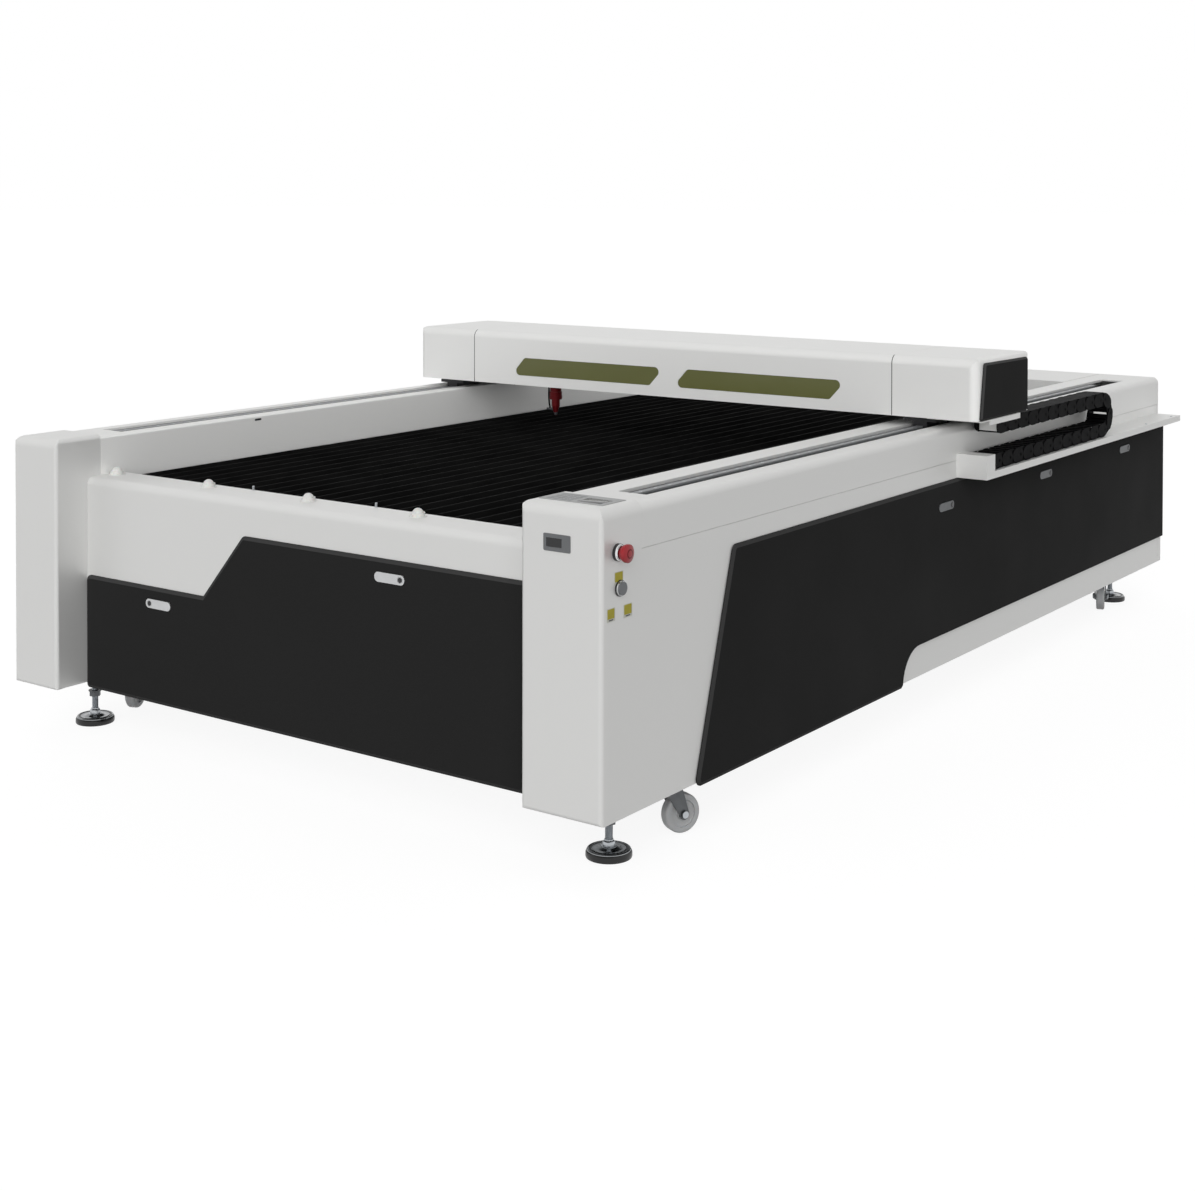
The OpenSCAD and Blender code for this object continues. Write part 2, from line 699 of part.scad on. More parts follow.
// Dust hopper under the bed: four sloping walls down to a trough, with two
// collars in its rear wall. A duct runs from each collar out through the rear
// sheet, where a flange holds it, and ends in a spigot for a fume hose.
duct_wall = 2;
duct_y0 = rear_box_y - 30;
module dust_hopper() color([0.3, 0.3, 0.3]) {
  z1 = ledge_z - 12;
  z0 = spigot_z - spigot_r - 12;
  x1 = ledge_x - fit;
  y0 = slat_y0 + 20;
  collar = spigot_r + fit;
  difference() {
    union() {
      funnel(-x1, x1, y0, duct_y0, z0, z1, 0);
      for (x = spigot_x) rearward(x, duct_y0 - cut) cylinder(25 + cut, r = collar + duct_wall);
    }
    funnel(-x1, x1, y0, duct_y0, z0, z1, duct_wall);
    for (x = spigot_x) {
      rearward(x, duct_y0) cylinder(26, r = collar);
      rearward(x, duct_y0 - 10) cylinder(20, r = spigot_r - duct_wall);
    }
  }
  for (x = spigot_x) difference() {
    union() {
      rearward(x, duct_y0 + fit) cylinder(body_l + spigot_l - duct_y0 - fit, r = spigot_r);
      rearward(x, body_l + fit) cylinder(flange_t, r = spigot_r + 15);
    }
    rearward(x, duct_y0 - cut) cylinder(body_l + spigot_l - duct_y0 + 2 * cut,
                                        r = spigot_r - duct_wall);
  }
}
flange_t = 3;
module rearward(x, y) translate([x, y, spigot_z]) rotate([-90, 0, 0]) children();
module funnel(x0, x1, y0, y1, z0, z1, t) hull() {
  box([x0 + t, y0 + t, z1 - 6], [x1 - t, y1 - t, z1 + (t > 0 ? cut : 0)]);
  box([x0 + 330 + t, y0 + 500 + t, z0 + t], [x1 - 330 - t, y1 - t, z0 + t + 1]);
}

// Ball units on the front beam, which carry a sheet as it is slid in.
ball_r = 14.5;
ball_z = 6;
cup_r = 18;
cup_wall_top = 10;
ball_y = beam_y + 82;
function ball_x(i) = left_in + 26 + i * (right_in - left_in - 121) / 4;
module ball_transfers() color("white") for (i = [0:4])
  translate([ball_x(i), ball_y, beam_top]) {
    difference() {
      union() {
        cylinder(2, r = cup_r + 4);
        translate([0, 0, -18]) cylinder(18 + cup_wall_top, r = cup_r - fit);
      }
      translate([0, 0, ball_z]) sphere(ball_r + fit);
    }
    translate([0, 0, ball_z]) sphere(ball_r);
  }

// ---- Controls ----

module control_panel() color([0.55, 0.56, 0.57]) {
  t = 4;
  c = 0.5;
  translate([panel_pos[0] + c, panel_pos[1] + c, post_top - t + 1]) difference() {
    linear_extrude(t) rounded(panel_size[0] - 2 * c, panel_size[1] - 2 * c, 1.5);
    translate([94, 12, t - 1]) linear_extrude(2) rounded(66, 50, 2);
    for (i = [0:3], j = [0:3]) translate([12 + i * 18, 10 + j * 18, t - 0.6])
      linear_extrude(2) rounded(14, 14, 2);
  }
  translate([panel_pos[0] + 8, panel_pos[1] + 8, post_top - 30])
    cube([panel_size[0] - 16, panel_size[1] - 16, 27]);
}

module display_unit() color([0.35, 0.36, 0.37]) {
  w = display_size[0];
  h = display_size[1];
  difference() {
    union() {
      translate([display_pos[0], 0, display_pos[1]]) rotate([90, 0, 0])
        linear_extrude(bezel_proud) rounded(w, h, 3);
      translate([display_pos[0] + 3.3, -cut / 2, display_pos[1] + 3.3])
        cube([w - 6.6, 24, h - 6.6]);
    }
    translate([display_pos[0] + 8, -bezel_proud - cut, display_pos[1] + 9])
      cube([42, cut + 1.5, 20]);
  }
}

module side_turned(p) translate([half_w, p[0], p[1]]) rotate([0, 90, 0]) children();

// Collars of the emergency stop and of the push button, with their sockets.
module button_bezels() color([0.2, 0.2, 0.2]) {
  side_turned(estop_pos) difference() {
    union() {
      cylinder(6, r = 19);
      translate([0, 0, 6]) cylinder(5, r1 = 16, r2 = 14);
      translate([0, 0, -40]) cylinder(41, r = estop_hole - run);
    }
    translate([0, 0, -14]) cylinder(40, r = 7.5);
  }
  side_turned(button_pos) difference() {
    union() {
      cylinder(3, r = 18);
      cylinder(6, r = 16.5);
      translate([0, 0, -35]) cylinder(36, r = button_hole - run);
    }
    translate([0, 0, -8]) cylinder(30, r = 6);
    translate([0, 0, 0.5]) cylinder(10, r = cap_r + run);
  }
}
module estop_button() color([0.71, 0.19, 0.22]) side_turned(estop_pos) {
  translate([0, 0, -6]) cylinder(24, r = 7.5 - run);
  translate([0, 0, 17]) cylinder(7, r1 = 17, r2 = 20);
  translate([0, 0, 24]) cylinder(6, r = 20);
  translate([0, 0, 30]) intersection() {
    cylinder(5, r = 20);
    translate([0, 0, -41]) sphere(45.6);
  }
}
cap_r = 14.5;
module push_button_cap() color([0.3, 0.3, 0.32]) side_turned(button_pos) {
  translate([0, 0, -4]) cylinder(9, r = 6 - run);
  translate([0, 0, 4]) cylinder(6, r = cap_r);
}

// ---- Rails and belt drive ----

module rail_profile(w, h) polygon([
  [-w / 2, 0], [w / 2, 0], [w / 2, h * 0.3], [w * 0.36, h * 0.48],
  [w * 0.36, h * 0.6], [w / 2, h * 0.76], [w / 2, h], [-w / 2, h],
  [-w / 2, h * 0.76], [-w * 0.36, h * 0.6], [-w * 0.36, h * 0.48], [-w / 2, h * 0.3]]);

module y_rails() color("darkgray") for (s = [-1, 1]) {
  box([s * rail_x - channel_w / 2 + 3, idler_y + pulley_r + belt_t + 3, bar_z],
      [s * rail_x + channel_w / 2 - 3, rail_y1, rail_z]);
  translate([s * rail_x - s * rail_off, 0, rail_z]) along_y(rail_y0, rail_y1)
    rail_profile(rail_w, rail_h);
}
rail_off = 6;

// Closed belt round the two pulleys of each side.
module belt_loop(r0, r1) difference() {
  stadium(r1);
  stadium(r0);
}
module stadium(r) {
  translate([idler_y, belt_z]) circle(r);
  translate([shaft_y, belt_z]) circle(r);
  translate([idler_y, belt_z - r]) square([shaft_y - idler_y, 2 * r]);
}
module y_belts() color([0.15, 0.15, 0.15]) for (s = [-1, 1])
  along_x(s * (rail_x + belt_off) - belt_w / 2, s * (rail_x + belt_off) + belt_w / 2)
    belt_loop(pulley_r + fit, pulley_r + fit + belt_t);

module pulley(x, y) translate([x - belt_w / 2 - 2, y, belt_z]) rotate([0, 90, 0]) {
  cylinder(belt_w + 4, r = pulley_r - 1);
  translate([0, 0, 2.5]) cylinder(belt_w - 1, r = pulley_r);
}

module y_idlers() color("silver") for (s = [-1, 1]) {
  pulley(s * (rail_x + belt_off), idler_y);
  translate([s * rail_x - rail_beam_w / 2 - 12, idler_y, belt_z]) rotate([0, 90, 0])
    cylinder(rail_beam_w + 24, r = shaft_r);
}
module y_drive_shaft() color("silver") {
  for (s = [-1, 1]) pulley(s * (rail_x + belt_off), shaft_y);
  translate([-rail_x - rail_beam_w / 2 - 12, shaft_y, belt_z]) rotate([0, 90, 0])
    cylinder(2 * rail_x + rail_beam_w + 24, r = shaft_r);
}

// Motor on the drive shaft, on a foot that stands on a bracket of the frame.
motor_w = 70;
module y_motor() color([0.2, 0.2, 0.2]) {
  x0 = right_in - 260;
  difference() {
    union() {
      box([x0, shaft_y - motor_w / 2, belt_z - motor_w / 2],
          [x0 + 100, shaft_y + motor_w / 2, belt_z + motor_w / 2]);
      box([x0 + 100, shaft_y - motor_w / 2 - 2, ledge_z],
          [x0 + 110, shaft_y + motor_w / 2 + 2, belt_z + motor_w / 2 + 2]);
      box([x0 + 60, shaft_y - 30, ledge_z], [x0 + 101, shaft_y + 30, ledge_z + 10]);
      translate([x0 + 109, shaft_y, belt_z]) rotate([0, 90, 0]) cylinder(40, r = 32);
    }
    translate([x0 - cut, shaft_y, belt_z]) rotate([0, 90, 0]) cylinder(160, r = shaft_r + run);
  }
}

// ---- Feet and casters ----

// Levelling foot: rubber pad under a dished disc, neck and stud.
module foot(i) color("silver") translate([feet[i][0], feet[i][1], 0]) {
  pad_r = foot_d / 2;
  cylinder(14, r = pad_r);
  translate([0, 0, 14]) cylinder(3, r = pad_r - 2);
  translate([0, 0, 17]) cylinder(7, r1 = pad_r - 5, r2 = 20);
  translate([0, 0, 20]) cylinder(18, r = 14);
  translate([0, 0, 14]) cylinder(floor_gap + 36, r = stud_d / 2);
}
module foot_front_left() foot(0);
module foot_front_right() foot(1);
module foot_rear_left() foot(2);
module foot_rear_right() foot(3);

axle_r = 6;
fork_t = 4;

// Caster fork: king pin, swivel head and two cheeks that reach back to the
// axle, drawn with the wheel trailing along +y.
module caster_fork(i) color("silver") translate([casters[i][0], casters[i][1], 0])
  rotate([0, 0, swivels[i]]) {
    z1 = plate_z - fit;
    inner = wheel_w / 2 + 2;
    translate([0, 0, z1 - 9]) cylinder(9, r = 27);
    translate([0, 0, z1 - 2]) cylinder(28, r = stem_r);
    box([-inner - fork_t, -24, z1 - 14], [inner + fork_t, 26, z1 - 8]);
    for (s = [-1, 1]) along_x(s > 0 ? inner : -inner - fork_t, s > 0 ? inner + fork_t : -inner)
      fork_cheek(z1);
    translate([-inner - fork_t - 5, trail, wheel_z]) rotate([0, 90, 0])
      cylinder(2 * (inner + fork_t + 5), r = axle_r);
    for (x = [-inner - fork_t - 5, inner + fork_t]) translate([x, trail, wheel_z])
      rotate([0, 90, 0]) cylinder(5, r = 10, $fn = 6);
  }
module fork_cheek(z1) {
  polygon([[-24, z1 - 10], [26, z1 - 10], [trail + 13, wheel_z], [trail - 13, wheel_z]]);
  translate([trail, wheel_z]) circle(13);
}
module caster_fork_front_left() caster_fork(0);
module caster_fork_front_right() caster_fork(1);
module caster_fork_rear_left() caster_fork(2);
module caster_fork_rear_right() caster_fork(3);

// Wheel: a rim with rounded shoulders, a thinner disc and a hub.
module caster_wheel(i) color("whitesmoke") translate([casters[i][0], casters[i][1], 0])
  rotate([0, 0, swivels[i]]) translate([0, trail, wheel_z]) rotate([0, 90, 0])
    rotate_extrude($fn = 64) wheel_section();
module wheel_section() {
  r = wheel_d / 2;
  w = wheel_w / 2;
  difference() {
    union() {
      translate([r - 6, -w + 6]) square([6, wheel_w - 12]);
      translate([r - 14, -w]) square([8, wheel_w]);
      for (z = [-w + 6, w - 6]) translate([r - 6, z]) circle(6);
      translate([axle_r + run, -w]) square([9, wheel_w]);
      translate([axle_r + run, -w + 6]) square([r - 12 - axle_r, wheel_w - 12]);
    }
    translate([-10, -w - cut]) square([10 + axle_r + run, wheel_w + 2 * cut]);
  }
}
module caster_wheel_front_left() caster_wheel(0);
module caster_wheel_front_right() caster_wheel(1);
module caster_wheel_rear_left() caster_wheel(2);
module caster_wheel_rear_right() caster_wheel(3);

// ---- Gantry ----

// Section of the gantry's cover in (y, z): upright front, round upper edges.
module cover_section(g) translate([gantry_y + g, gantry_z - (g > 0 ? cut : 0)])
  arched(gantry_d - 2 * g, gantry_h - g + (g > 0 ? cut : 0), gantry_r - g, 14 - g);

module window_outline(i, g) {
  x = seam_left + 194 + i * (window_w + window_gap);
  r = 15 + g;
  l = window_lean;
  corners = [[x - l / 2, window_z], [x + window_w - l / 2, window_z],
             [x + window_w + l / 2, window_z + window_h], [x + l / 2, window_z + window_h]];
  c = [x + window_w / 2, window_z + window_h / 2];
  hull() for (p = corners) {
    s = [sign(c[0] - p[0]), sign(c[1] - p[1])];
    translate([p[0] + s[0] * 17, p[1] + s[1] * 15]) circle(r);
  }
}

module gantry_cover() color("gainsboro") difference() {
  x0 = seam_left + seam_gap / 2;
  x1 = seam_right - seam_gap / 2;
  along_x(x0, x1) cover_section(0);
  along_x(x0 - cut, x1 + cut) cover_section(cover_t);
  for (i = [0, 1]) along_y(gantry_y - cut, gantry_y + cover_t + cut) window_outline(i, 0.4);
}
module gantry_windows() color([0.39, 0.4, 0.24]) for (i = [0, 1]) {
  along_y(gantry_y + 0.8, gantry_y + cover_t + 0.01) window_outline(i, 0);
  along_y(gantry_y + cover_t, gantry_y + cover_t + 2) window_outline(i, 6);
}

// End covers: the same section, closed at the end with rounded edges.
module end_form(x0, x1, g, left) intersection() {
  along_x(x0, x1) cover_section(g);
  along_y(gantry_y, gantry_y + gantry_d) translate([x0, gantry_z - 2 * cut])
    arched(x1 - x0, gantry_h - g + 2 * cut, left ? 18 - g : 0, left ? 0 : 8);
  translate([x0, gantry_y + gantry_d - g, gantry_z - 2 * cut]) mirror([0, 1, 0])
    linear_extrude(gantry_h + 4 * cut)
      arched(x1 - x0, gantry_d - 2 * g, left ? 22 - g : 0, left ? 0 : 24 - g);
}
module end_cover(x0, x1, left) difference() {
  end_form(x0, x1, 0, left);
  end_form(left ? x0 + cover_t : x0 - 5, left ? x1 + 5 : x1 - cover_t, cover_t, left);
}
vent_outline = [
  [gantry_y + 19, gantry_z], [gantry_y + gantry_d - 10, gantry_z],
  [gantry_y + gantry_d - 10, gantry_top - 17], [gantry_y + 45, gantry_top - 14]];
module gantry_end_covers() color("gainsboro") {
  end_cover(gantry_x0, seam_left - seam_gap / 2, true);
  difference() {
    end_cover(seam_right + seam_gap / 2, gantry_x1, false);
    along_x(gantry_x1 - cover_t - cut, gantry_x1 + cut) polygon([
      vent_outline[0] + [26, 20], vent_outline[1] + [-26, 20],
      vent_outline[2] + [-26, -20], vent_outline[3] + [22, -20]]);
  }
}
module gantry_vent_panel() color([0.16, 0.16, 0.16])
  translate([gantry_x1 + vent_t, 0, 0]) rotate([90, 0, 90]) difference() {
    slant_plate(vent_outline, 8, vent_t - fit, 6, 5);
    translate([0, 0, -vent_t]) linear_extrude(vent_t - 3) polygon([
      vent_outline[0] + [30, 24], vent_outline[1] + [-30, 24],
      vent_outline[2] + [-30, -24], vent_outline[3] + [26, -24]]);
  }

module gantry_beam() color("silver") {
  tube([-rail_x - 70, beam_front, beam_z], [rail_x + 70, beam_front + beam_w, beam_z + beam_h],
       0, beam_wall);
  // Brackets that the covers are screwed to.
  for (x = [seam_left, (seam_left + seam_right) / 2, seam_right]) {
    box([x - 15, gantry_y + cover_t + fit, beam_z + beam_h + 17],
        [x + 15, gantry_y + gantry_d - cover_t - fit, beam_z + beam_h + 23]);
    box([x - 15, beam_front + 20, beam_z + beam_h - cut],
        [x + 15, beam_front + 26, beam_z + beam_h + 18]);
    box([x - 15, beam_front + 74, beam_z + beam_h - cut],
        [x + 15, beam_front + 80, beam_z + beam_h + 18]);
  }
}

// Trucks: two runner blocks on each rail and a plate that the beam stands on.
module truck(s) {
  x = s * (rail_x - rail_off);
  block_w = 44;
  for (y = [truck_y, truck_y + truck_l - 78])
    translate([x, 0, 0]) difference() {
      box([-block_w / 2, y, rail_z + 4.6], [block_w / 2, y + 78, rail_z + 30]);
      translate([0, 0, rail_z]) along_y(y - cut, y + 79) rail_slot();
    }
  box([x - 50, truck_y, rail_z + 30], [x + 50, truck_y + truck_l, beam_z]);
  // Clamp on the belt's upper run.
  translate([s * (rail_x + belt_off), truck_y + truck_l / 2, 0])
    box([-7, -30, belt_z + pulley_r + belt_t + 2 * fit], [7, 30, rail_z + 31]);
}
module rail_slot() {
  rail_profile(rail_w + 1, rail_h + 0.5);
  translate([-rail_w * 0.36 - 0.4, 0]) square([rail_w * 0.72 + 0.8, rail_h]);
}
module gantry_trucks() color("gray") for (s = [-1, 1]) truck(s);

module x_rail() color("darkgray") translate([0, beam_front, x_rail_z]) rotate([90, 0, 0])
  rotate([0, 90, 0]) translate([0, 0, -rail_x]) linear_extrude(2 * rail_x)
    rotate([0, 0, 90]) rail_profile(x_rail_size, 12);

// Motor, end pulleys and belt that pull the head along the gantry.
x_belt_z = x_rail_z - 32;
x_belt_y = beam_front - 26;
x_end = rail_x - 20;
module x_drive() color([0.2, 0.2, 0.2]) {
  for (s = [-1, 1]) {
    box([s * x_end - 25, beam_front - 45, x_belt_z - 26],
        [s * x_end + 25, beam_front - 39, x_belt_z + 24]);
    box([s * x_end - 25, beam_front - 39, x_belt_z - 26],
        [s * x_end + 25, beam_front, x_belt_z - 21]);
    translate([s * x_end, beam_front - 38.5, x_belt_z]) rotate([-90, 0, 0]) cylinder(16, r = 12);
  }
  translate([x_end, beam_front - 88, x_belt_z]) translate([-28, 0, -28]) cube([56, 43, 56]);
  translate([0, beam_front - 37, x_belt_z]) rotate([-90, 0, 0]) linear_extrude(12) difference() {
    flat_loop(14.3);
    flat_loop(12.3);
  }
}
module flat_loop(r) {
  translate([-x_end, 0]) circle(r);
  translate([x_end, 0]) circle(r);
  translate([-x_end, -r]) square([2 * x_end, 2 * r]);
}

tube_x0 = -0.425 * body_w;
tube_x1 = 0.4 * body_w;
module laser_tube() color([0.8, 0.9, 0.92]) translate([tube_x0, tube_y, tube_z]) rotate([0, 90, 0]) {
  cylinder(tube_x1 - tube_x0, r = tube_d / 2 - 1);
  translate([0, 0, -35]) cylinder(36, r = 18);
  translate([0, 0, tube_x1 - tube_x0 - 1]) cylinder(36, r = 18);
}

// Ring mounts of the tube and the two corner mirrors at the left end.
mirror_x = tube_x0 - 75;
module optics_mounts() color([0.15, 0.15, 0.15]) {
  for (x = [tube_x0 + 250, tube_x1 - 250]) difference() {
    union() {
      translate([x - 12, tube_y, tube_z]) rotate([0, 90, 0]) cylinder(24, r = tube_d / 2 + 5);
      box([x - 12, beam_front + beam_w, tube_z - 40], [x + 12, tube_y, tube_z - 10]);
    }
    translate([x - 20, tube_y, tube_z]) rotate([0, 90, 0])
      cylinder(40, r = tube_d / 2 - 1 + fit);
  }
  for (y = [tube_y, head_y]) {
    translate([mirror_x, y, tube_z]) rotate([0, 0, y == tube_y ? 45 : -45]) mirror_mount();
  }
  box([mirror_x - 14, head_y - 10, beam_z + beam_h], [mirror_x + 14, tube_y + 10, beam_z + beam_h + 5]);
}
module mirror_mount() {
  box([-20, -4, -18], [20, 4, 18]);
  box([-16, 6, -14], [16, 12, 14]);
  for (p = [[-12, -10], [12, 10], [-12, 10]]) translate([p[0], 2, p[1]]) rotate([-90, 0, 0])
    cylinder(6, r = 3);
  translate([0, 0, 16]) cylinder(beam_z + beam_h - tube_z - 15, r = 5);
}

// Bracket under the gantry's right end: a plate with a lip beside the chain and
// a tab that the chain is fastened to.
bracket_y0 = gantry_y + 24;
bracket_y1 = gantry_y + 300;
module chain_bracket() color("gainsboro") {
  z0 = beam_z + fit;
  x1 = chain_x + chain_w / 2 + 0.5;
  tab_w = chain_w / 2 - 2 * plate_t - 2 * fit;
  tab_y = loop_y - (upper_links + end_links) * link_pitch + 2;
  box([rail_x + 20, bracket_y0, z0], [x1, beam_front - 3, z0 + 3]);
  box([rail_x + 74, bracket_y0, z0], [x1, bracket_y1, z0 + 3]);
  box([x1 - cut, bracket_y0, z0], [x1 + 3, bracket_y1, z0 + 3]);
  box([x1, bracket_y0 + 60, z0 - 13], [x1 + 3, bracket_y1, z0 + 1]);
  box([chain_x - tab_w, tab_y, loop_z + chain_r - 16], [chain_x + tab_w, tab_y + 6, z0 + cut]);
}

// ---- Cable chain ----

// Link from its first pin at the origin to its second along +y. Odd links
// have their side plates inside those of even links.
module link(odd) {
  p = link_pitch;
  r = p / 2 - 0.3;
  w = chain_w / 2 - (odd ? plate_t + fit : 0);
  for (s = [-1, 1]) along_x(s > 0 ? w - plate_t : -w, s > 0 ? w : plate_t - w) {
    circle(r);
    translate([p, 0]) circle(r);
    translate([5, -link_h / 2]) square([p - 10, link_h]);
  }
  for (z = [-link_h / 2, link_h / 2 - 4])
    box([cut - w, p / 2 - 7, z], [w - cut, p / 2 + 7, z + 4]);
}
module lower_run_links(n) for (i = [1:n])
  translate([chain_x, loop_y - i * link_pitch, loop_z - chain_r]) link(i % 2 == 0);
module upper_links_from(a, n) for (i = [a:a + n - 1])
  translate([chain_x, loop_y - i * link_pitch, loop_z + chain_r]) link(i % 2 == 1);

module chain_lower_run() color([0.12, 0.12, 0.12]) lower_run_links(lower_links);
module chain_loop() color([0.12, 0.12, 0.12]) for (i = [0:turn_links - 1])
  translate([chain_x, loop_y, loop_z]) rotate([i * link_angle, 0, 0])
    translate([0, 0, -chain_r]) rotate([link_angle / 2, 0, 0]) link(i % 2 == 0);
module chain_upper_end() color([0.12, 0.12, 0.12]) upper_links_from(1, end_links);
module chain_upper_run() color([0.12, 0.12, 0.12]) upper_links_from(end_links + 1, upper_links);

// Shelf of the chain, folded down all round, with a box that holds its end.
module chain_tray() color("gainsboro") {
  t = sheet_t;
  x0 = half_w;
  x1 = half_w + tray_w;
  difference() {
    box([x0, tray_y0, tray_z - tray_lip], [x1, tray_y1, tray_z]);
    box([x0 + t, tray_y0 + t, tray_z - tray_lip - cut], [x1 - t, tray_y1 - t, tray_z - t]);
  }
  difference() {
    box([x0, tray_y0, tray_z - cut], [x1, tray_y0 + tray_box_l, tray_z + 49]);
    box([x0 + t, tray_y0 + t, tray_z], [x1 - t, tray_y0 + tray_box_l + cut, tray_z + 49 - t]);
  }
  // Foot that the chain's first link is fastened to.
  box([chain_x - chain_w / 2 + 10, tray_y0 + tray_box_l - 30, tray_z - cut],
      [chain_x + chain_w / 2 - 10, loop_y - (lower_links - 0.4) * link_pitch,
       chain_bottom - fit]);
}

// ---- Cutting head ----

module head_carriage() color([0.5, 0.5, 0.52]) translate([head_x, 0, 0]) {
  y1 = beam_front - 2;
  difference() {
    box([-40, beam_front - 22, x_rail_z - 20], [40, y1, x_rail_z + 20]);
    translate([-50, beam_front, x_rail_z]) rotate([90, 0, 0]) rotate([0, 90, 0])
      linear_extrude(100) rotate([0, 0, 90]) rail_profile(x_rail_size + 1, 12.5);
    translate([-50, beam_front - 12, x_rail_z - 5.9]) cube([100, 14, 11.8]);
  }
  box([-40, head_y + 21, x_rail_z + 21], [40, y1, x_rail_z + 27]);
  box([-30, beam_front - 22, x_rail_z + 19], [30, y1, x_rail_z + 22]);
  box([-28, head_y + 21, gantry_z - 8], [28, head_y + 27, x_rail_z + 27]);
  // Clamp on the belt's upper run.
  box([-20, x_belt_y - 10, x_belt_z + 14.6], [20, beam_front - 21, x_belt_z + 20]);
}

// Head: mirror box on top, red body with a collar, lower down the lens tube.
module laser_head() color([0.7, 0.1, 0.12]) translate([head_x, head_y, 0]) difference() {
  z = gantry_z;
  union() {
    translate([-24, -22, tube_z - 22]) cube([48, 42.7, 44]);
    translate([0, 0, z - 25]) cylinder(tube_z - 22 - z + 26, r = 19);
    translate([0, 0, z - 50]) cylinder(26, r = 21);
  }
  translate([0, 0, z - 50 - cut]) cylinder(tube_z - z + 50, r = lens_r + run);
  translate([-26, 0, tube_z]) rotate([0, 90, 0]) cylinder(30, r = 9);
}
lens_r = 14;
module lens_tube() color("silver") translate([head_x, head_y, 0]) {
  z = gantry_z;
  difference() {
    union() {
      translate([0, 0, z - 72]) cylinder(62, r = lens_r);
      translate([0, 0, z - 94]) cylinder(22, r1 = 7, r2 = lens_r);
      translate([0, 0, z - 104]) cylinder(12, r1 = 3.5, r2 = 7);
    }
    translate([0, 0, z - 105]) cylinder(100, r = 2.5);
    translate([0, 0, z - 62]) cylinder(60, r = 9);
  }
}

placed() base_frame();
placed() side_sheets();
placed() left_post_cover();
placed() right_post_cover();
placed() front_beam_cover();
placed() rear_cover();
placed() left_rail_housing();
placed() right_rail_housing();
placed() chain_tray();
placed() bed_slats();
placed() bed_cross_bars();
placed() dust_hopper();
placed() y_rails();
placed() y_belts();
placed() y_motor();
placed() y_idlers();
placed() y_drive_shaft();
placed() ball_transfers();
placed() control_panel();
placed() display_unit();
placed() button_bezels();
placed() estop_button();
placed() push_button_cap();
placed() front_access_panel();
placed() front_latch_left();
placed() front_latch_right();
placed() right_side_panel();
placed() right_side_latches();
placed() left_side_panel();
placed() left_side_latches();
placed() foot_front_left();
placed() foot_front_right();
placed() foot_rear_left();
placed() foot_rear_right();
placed() caster_fork_front_left();
placed() caster_fork_front_right();
placed() caster_fork_rear_left();
placed() caster_fork_rear_right();
placed() caster_wheel_front_left();
placed() caster_wheel_front_right();
placed() caster_wheel_rear_left();
placed() caster_wheel_rear_right();
placed() gantry_cover();
placed() gantry_end_covers();
placed() gantry_windows();
placed() gantry_vent_panel();
placed() gantry_beam();
placed() gantry_trucks();
placed() x_rail();
placed() x_drive();
placed() laser_tube();
placed() optics_mounts();
placed() chain_bracket();
placed() chain_lower_run();
placed() chain_loop();
placed() chain_upper_run();
placed() chain_upper_end();
placed() head_carriage();
placed() laser_head();
placed() lens_tube();
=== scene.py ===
"""Looks of a flatbed laser cutting machine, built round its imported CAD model.

Lengths are in metres in the model's own frame: +X is to the operator's right,
+Y runs to the rear, +Z is up and the floor is at Z = 0. The CAD pieces keep
their shapes and get their finishes here. What is too small for the CAD model,
such as screws, threads, keys, lenses, pins and bare plates, is made here.
"""

import logging
import math
from dataclasses import dataclass, field
from enum import Enum
from typing import ClassVar, Protocol, Sequence

import bmesh
import bpy
from mathutils import Matrix, Vector


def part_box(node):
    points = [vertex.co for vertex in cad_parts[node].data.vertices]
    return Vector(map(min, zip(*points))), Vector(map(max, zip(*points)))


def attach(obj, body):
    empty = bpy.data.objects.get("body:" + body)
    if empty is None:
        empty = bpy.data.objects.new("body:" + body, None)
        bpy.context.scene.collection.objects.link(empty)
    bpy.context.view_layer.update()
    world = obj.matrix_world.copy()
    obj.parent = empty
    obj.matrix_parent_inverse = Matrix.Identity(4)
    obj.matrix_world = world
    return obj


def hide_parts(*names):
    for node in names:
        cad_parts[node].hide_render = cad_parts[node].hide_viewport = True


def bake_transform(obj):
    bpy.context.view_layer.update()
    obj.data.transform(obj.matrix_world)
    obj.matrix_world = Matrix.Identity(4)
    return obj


LOG = logging.getLogger("laser_cutter")

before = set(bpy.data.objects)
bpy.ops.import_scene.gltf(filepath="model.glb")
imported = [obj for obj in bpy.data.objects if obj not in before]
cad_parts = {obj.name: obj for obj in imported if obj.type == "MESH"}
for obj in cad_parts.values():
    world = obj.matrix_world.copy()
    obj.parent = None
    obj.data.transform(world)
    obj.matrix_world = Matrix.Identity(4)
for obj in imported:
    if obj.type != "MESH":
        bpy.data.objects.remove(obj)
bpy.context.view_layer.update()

MM = 0.001
ROOT = "machine_body"

Tree = bpy.types.NodeTree
Socket = bpy.types.NodeSocket
Mesh = bmesh.types.BMesh
Vert = bmesh.types.BMVert
Outline = Sequence[tuple[float, float]]


class Axis(Enum):
    """Direction that a piece or a row of small parts faces."""

    RIGHT = (1.0, 0.0, 0.0)
    LEFT = (-1.0, 0.0, 0.0)
    BACK = (0.0, 1.0, 0.0)
    FRONT = (0.0, -1.0, 0.0)
    UP = (0.0, 0.0, 1.0)

    def turn(self) -> Matrix:
        """Returns the 4x4 turn that takes +Z to this direction."""
        return Vector(self.value).to_track_quat("Z", "Y").to_matrix().to_4x4()


# ---- Node helpers ----


